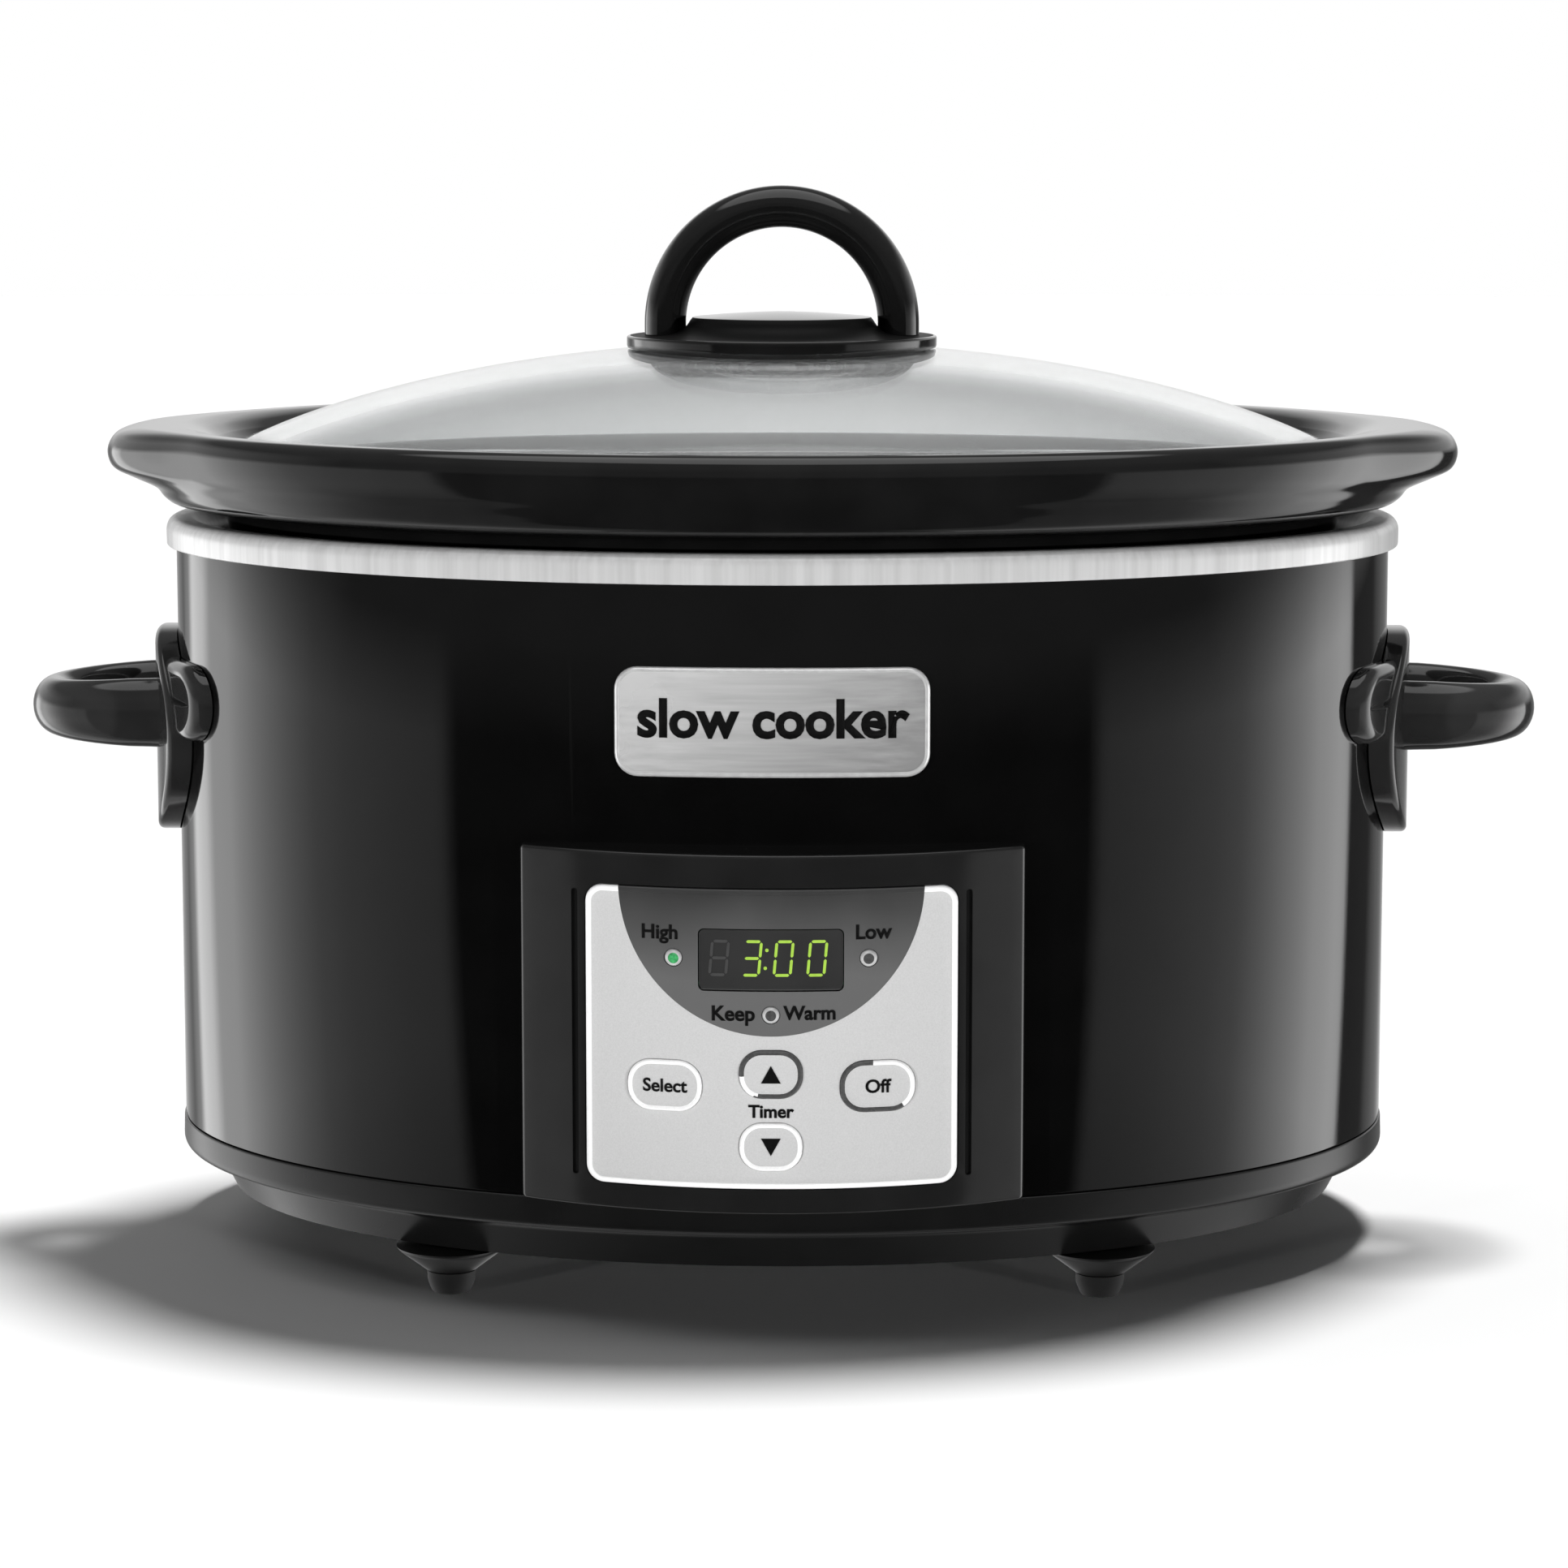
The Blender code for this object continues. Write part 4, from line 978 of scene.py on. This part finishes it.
def make_keys():
    levels = [
        (0.0, -0.0004), (0.0, 0.0005), (0.0002, 0.0008), (0.0005, KEY_PROUD), (0.0008, 0.0009),
        (0.0010, 0.0007), (KEY_RIM, 0.0006),
    ]
    for name, ((x, z), size) in KEYS.items():
        shape = ((x, z), size, size[1] / 2 - KEY_EASE)
        rings = plate_rings(shape, levels, panel_y, lambda px: panel_y(px, KEY_PROUD - KEY_THICK), fill=5)
        cap = loft(f"key_{name}_cap", rings, "silver_fascia")
        half = [side / 2 - KEY_RIM for side in size]
        corner = size[1] / 2 - KEY_EASE - KEY_RIM

        def on_rim(p, wanted_dark, centre=(x, z), half=half, corner=corner, name=name):
            turn = math.degrees(math.atan2(p.z - centre[1], p.x - centre[0])) % 360
            return outside(p, centre, half, corner) and key_rim_is_dark(name, turn) == wanted_dark

        # The rims of Up and Off get a lit copy of the trim and, where they lie in shade, a painted-shade copy
        paint(cap, "bright_trim", lambda p: on_rim(p, False))
        paint(cap, "painted_shade_and_chip", lambda p: on_rim(p, True))
        front = panel_y(x) + KEY_THICK - KEY_PROUD
        low, high = -KEY_STEM_HALF, KEY_STEM_HALF
        square = [(x + u, z + v) for u, v in ((low, low), (high, low), (high, high), (low, high))]
        ends = (front - 0.0006, OVAL_Y + KEY_STEM_END)
        stem = loft("stem", [[(px, y, pz) for px, pz in square] for y in ends], "silver_fascia")
        place(merge(f"key_{name}_moulding", [cap, stem]), f"key_{name}", "silver_fascia", f"key_{name}")
        if name in KEY_LABELS:
            words, height = KEY_LABELS[name]
            label = lettering(f"label_{name}", words, x, z - height * 0.34, height, panel_y, 0.00070, 0.00010)
            place(label, f"key_{name}", "black_component")
        else:
            arrow = triangle(f"arrow_{name}", x, z, 0.0050, name == "up")
            place(arrow, f"key_{name}", "black_component")


# Each segment of a digit: its two ends, in half widths and half heights of the digit
SEGMENTS = {
    "top": ((-1, 1), (1, 1)), "middle": ((-1, 0), (1, 0)), "bottom": ((-1, -1), (1, -1)),
    "high_left": ((-1, 0), (-1, 1)), "high_right": ((1, 0), (1, 1)),
    "low_left": ((-1, -1), (-1, 0)), "low_right": ((1, -1), (1, 0)),
}
DIGITS = {
    "3": ("top", "middle", "bottom", "high_right", "low_right"),
    "0": ("top", "bottom", "high_left", "high_right", "low_left", "low_right"),
    "8": tuple(SEGMENTS),
}
DIGIT_HALF = (0.00205, 0.00430)
DIGIT_STROKE = 0.00036
DIGIT_SLANT = 0.09
DIGIT_Z = WINDOW_Z + 0.0004
PANE_PROUD = -0.0006


def bar(start, end, trim=0.00022):
    """One segment: a bar with pointed ends between two points of the display."""
    along = Vector((end[0] - start[0], end[1] - start[1])).normalized()
    across = Vector((-along.y, along.x)) * DIGIT_STROKE
    a = Vector(start) + along * trim
    b = Vector(end) - along * trim
    tip = along * DIGIT_STROKE
    return [a, a + tip + across, b - tip + across, b, b - tip - across, a + tip - across]


def on_pane(name, shape, finish_name):
    """A flat mark a hair proud of the display's pane."""
    rings = [[(x, panel_y(x, PANE_PROUD + lift), z) for x, z in shape] for lift in (-0.0001, 0.00008)]
    return loft(name, rings, finish_name)


def digit(name, character, x, finish_name):
    half_wide, half_high = DIGIT_HALF
    made = []
    for segment in DIGITS[character]:
        ends = [(u * half_wide, v * half_high) for u, v in SEGMENTS[segment]]
        shape = [(x + p.x + DIGIT_SLANT * p.y, DIGIT_Z + p.y) for p in bar(*ends)]
        made.append(on_pane("segment", shape, finish_name))
    return merge(name, made)


def make_display():
    size = [side - 2 * FIT for side in WINDOW_SIZE]
    levels = [(0.0, -0.0003), (0.0002, -0.0005), (0.0005, PANE_PROUD)]
    shape = ((0, WINDOW_Z), size, 0.0013)
    rings = plate_rings(shape, levels, panel_y, lambda x: panel_y(x, -0.0014), fill=10)
    place(loft("display_pane", rings, "smoked_window"), "housing", "smoked_window", "display_window")
    for label, character, x in (("hours", "3", -0.0048), ("tens", "0", 0.0032), ("units", "0", 0.0117)):
        place(digit(f"digit_{label}", character, x, "lit_digit"), "housing", "green_lens")
    place(digit("digit_unlit", "8", -0.0131, "unlit_digit"), "housing", "smoked_window")
    for label, z in (("low", -0.0025), ("high", 0.0021)):
        dot = circle((-0.0012 + DIGIT_SLANT * z, DIGIT_Z + z), 0.00045, 16)
        place(on_pane(f"colon_{label}", dot, "lit_digit"), "housing", "green_lens")


def make_leds():
    """Each indicator: a clear or lit lens domed over its hole, with the dark chip showing in its middle."""
    for name, (x, z) in LED_PLACES.items():
        slot_name, core = ("green_lens", "green_lens") if name == "high" else ("clear_lens", "painted_shade_and_chip")
        profile = [
            (1.0, -0.0016), (1.0, 0.0001), (0.93, 0.0005), (0.80, 0.00085), (0.62, 0.0011), (0.40, 0.00125),
            (0.18, 0.0013),
        ]
        rings = []
        for share, proud in profile:
            ring = circle((x, z), LED_RADIUS * share, 40)
            rings.append([(px, panel_y(px, proud), pz) for px, pz in ring])
        lens = loft(f"lens_{name}", rings, "clear_lens")
        limit = LED_RADIUS * 0.66
        paint(lens, core, lambda p, x=x, z=z, limit=limit: math.hypot(p.x - x, p.z - z) < limit)
        place(lens, "housing", slot_name, f"led_{name}")


def make_gland():
    """The bush that the cord would come out of, at the back."""
    low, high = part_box("cord_gland")
    z = (low.z + high.z) / 2
    wide = (high.x - low.x) / 2
    wall = OVAL_Y + OVAL_B
    reach = high.y - wall
    profile = rounded([
        ((0.0074, low.y), 0.0004), ((0.0074, wall + 0.0003), 0), ((wide, wall + 0.0004), 0.0005),
        ((wide, wall + reach * 0.35), 0.0008), ((wide * 0.72, wall + reach * 0.5), 0.0008),
        ((wide * 0.62, wall + reach), 0.0008), ((0.0034, wall + reach), 0.0004), ((0.0032, low.y + 0.002), 0),
    ])
    rings = [[(px, y, pz) for px, pz in circle((0, z), r, 48)] for r, y in profile]
    place(loft("cord_bush", rings, "satin_black"), "housing", "satin_black", "cord_gland")


def dress_kept_nodes():
    """The CAD nodes that stay get the procedural finish of their slot."""
    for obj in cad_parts.values():
        for material_slot in obj.material_slots:
            material_slot.material = FINISHES[material_slot.material.name.removeprefix("cad_")]


# Stage

def studio_world():
    """What shiny pieces reflect: at table height a dark front, soft panels to the sides and a pale wall
    behind, all by compass bearing, and above that a room that brightens to the back and overhead.
    """
    world = bpy.data.worlds.new("studio")
    bpy.context.scene.world = world
    world.use_nodes = True
    world.cycles_visibility.diffuse = False
    tree = world.node_tree
    direction = node_of(tree, "SeparateXYZ", Vector=tree.nodes.new("ShaderNodeTexCoord").outputs["Generated"])
    x, y, z = (direction.outputs[axis] for axis in "XYZ")
    bearing = calculated(tree, "ARCTAN2", x, calculated(tree, "MULTIPLY", y, -1))
    ramp = tree.nodes.new("ShaderNodeValToRGB")
    tree.links.new(between(tree, bearing, 0, 1, -math.pi, math.pi), ramp.inputs["Fac"])
    # Bearing in degrees clockwise from the front, seen from above, and how bright the room is there
    stops = [
        (-180, 0.9), (-163, 0.5), (-150, 0.3), (-143, 0.8), (-139, 2.6), (-130, 2.8), (-125, 1.9),
        (-115, 2.4), (-107, 2.1), (-98, 1.6), (-90, 1.15), (-83, 0.8), (-75, 0.62), (-62, 0.48),
        (-54, 0.42), (-51, 0.03), (48, 0.03), (51, 0.42), (63, 0.54), (75, 0.72), (82, 0.92),
        (88, 1.35), (96, 2.0), (108, 2.8), (119, 2.65), (123.5, 2.2), (126, 0.10), (141, 0.08),
        (146, 0.2), (160, 0.3), (180, 0.9),
    ]
    brightest = 3.0
    elements = ramp.color_ramp.elements
    for degrees, level in stops[1:-1]:
        elements.new((degrees + 180) / 360).color = (*grey(level / brightest), 1)
    for end in (0, -1):
        elements[end].color = (*grey(stops[end][1] / brightest), 1)
    low_down = calculated(tree, "MULTIPLY", ramp.outputs["Color"], brightest)
    above_table = between(tree, y, ROOM_FRONT, ROOM_BACK, -0.3, 0.6)
    room = blended(tree, between(tree, z, 0, 1, 0.00, 0.12), low_down, above_table)
    room = blended(tree, between(tree, z, 0, 1, 0.30, 0.50), room, ROOM_HIGH)
    room = blended(tree, between(tree, z, 0, 1, 0.84, 0.88), room, ROOM_OVER)
    seen = calculated(tree, "MULTIPLY", room, between(tree, z, ROOM_UNDER, 1, -0.70, -0.35))
    tree.nodes["Background"].inputs["Color"].default_value = (1, 1, 1, 1)
    tree.links.new(seen, tree.nodes["Background"].inputs["Strength"])


def make_stage():
    floor = loft("floor", turned_rings([(7.0, -0.012), (7.0, 0.0)]), "floor_paper")
    floor.visible_glossy = False
    far, slices = 7.2, 24
    lifts = [math.pi * k / slices for k in range(1 - slices // 2, slices // 2)]
    sky = [(far * math.cos(lift), far * math.sin(lift)) for lift in lifts]
    backdrop = loft("backdrop", turned_rings(sky), "floor_paper")
    glow = bpy.data.materials.new("backdrop_white")
    glow.use_nodes = True
    tree = glow.node_tree
    tree.nodes.remove(tree.nodes["Principled BSDF"])
    light = node_of(tree, "Emission", Color=(1, 1, 1, 1), Strength=1.0)
    tree.links.new(light.outputs["Emission"], tree.nodes["Material Output"].inputs["Surface"])
    backdrop.data.materials[0] = glow
    for kind in ("glossy", "diffuse", "transmission", "shadow", "volume_scatter"):
        setattr(backdrop, "visible_" + kind, False)


def sun(name, direction, strength, spread):
    """A distant soft lamp: direction is where it shines from, and spread its width in degrees."""
    light = bpy.data.lights.new(name, "SUN")
    light.energy = strength
    light.angle = math.radians(spread)
    lamp = bpy.data.objects.new(name, light)
    lamp.visible_glossy = False
    bpy.context.scene.collection.objects.link(lamp)
    lamp.rotation_euler = Vector(direction).to_track_quat("Z", "Y").to_euler()
    return lamp


def make_camera():
    camera = bpy.data.objects.new("camera", bpy.data.cameras.new("camera"))
    bpy.context.scene.collection.objects.link(camera)
    camera.data.lens = CAMERA_LENS
    camera.data.sensor_width = 36
    aside = Vector((math.cos(CAMERA_YAW), math.sin(CAMERA_YAW), 0)) * CAMERA_ASIDE
    back = Vector((math.sin(CAMERA_YAW), -math.cos(CAMERA_YAW), 0)) * CAMERA_DISTANCE
    camera.location = aside + back + Vector((0, OVAL_Y, CAMERA_HEIGHT))
    camera.rotation_euler = (math.pi / 2 - CAMERA_PITCH, 0, CAMERA_YAW)
    bpy.context.scene.camera = camera


def main():
    make_wall()
    make_liner()
    make_base()
    make_feet()
    make_badge()
    make_crock()
    make_glass()
    make_lid_handle()
    make_washer()
    make_side_handles()
    make_housing()
    make_fascia()
    make_labels()
    make_keys()
    make_display()
    make_leds()
    make_gland()
    dress_kept_nodes()
    studio_world()
    make_stage()
    sun("back_light", (0.12, 0.24, 1.0), 3.55, 13)
    sun("left_light", (-0.75, 0.25, 1.0), 0.36, 44)
    sun("left_fill", (-0.70, -0.70, 0.015), 2.1, 1.5)
    sun("right_fill", (0.70, -0.70, 0.015), 2.1, 1.5)
    bpy.context.scene.view_settings.view_transform = "Standard"
    make_camera()


main()
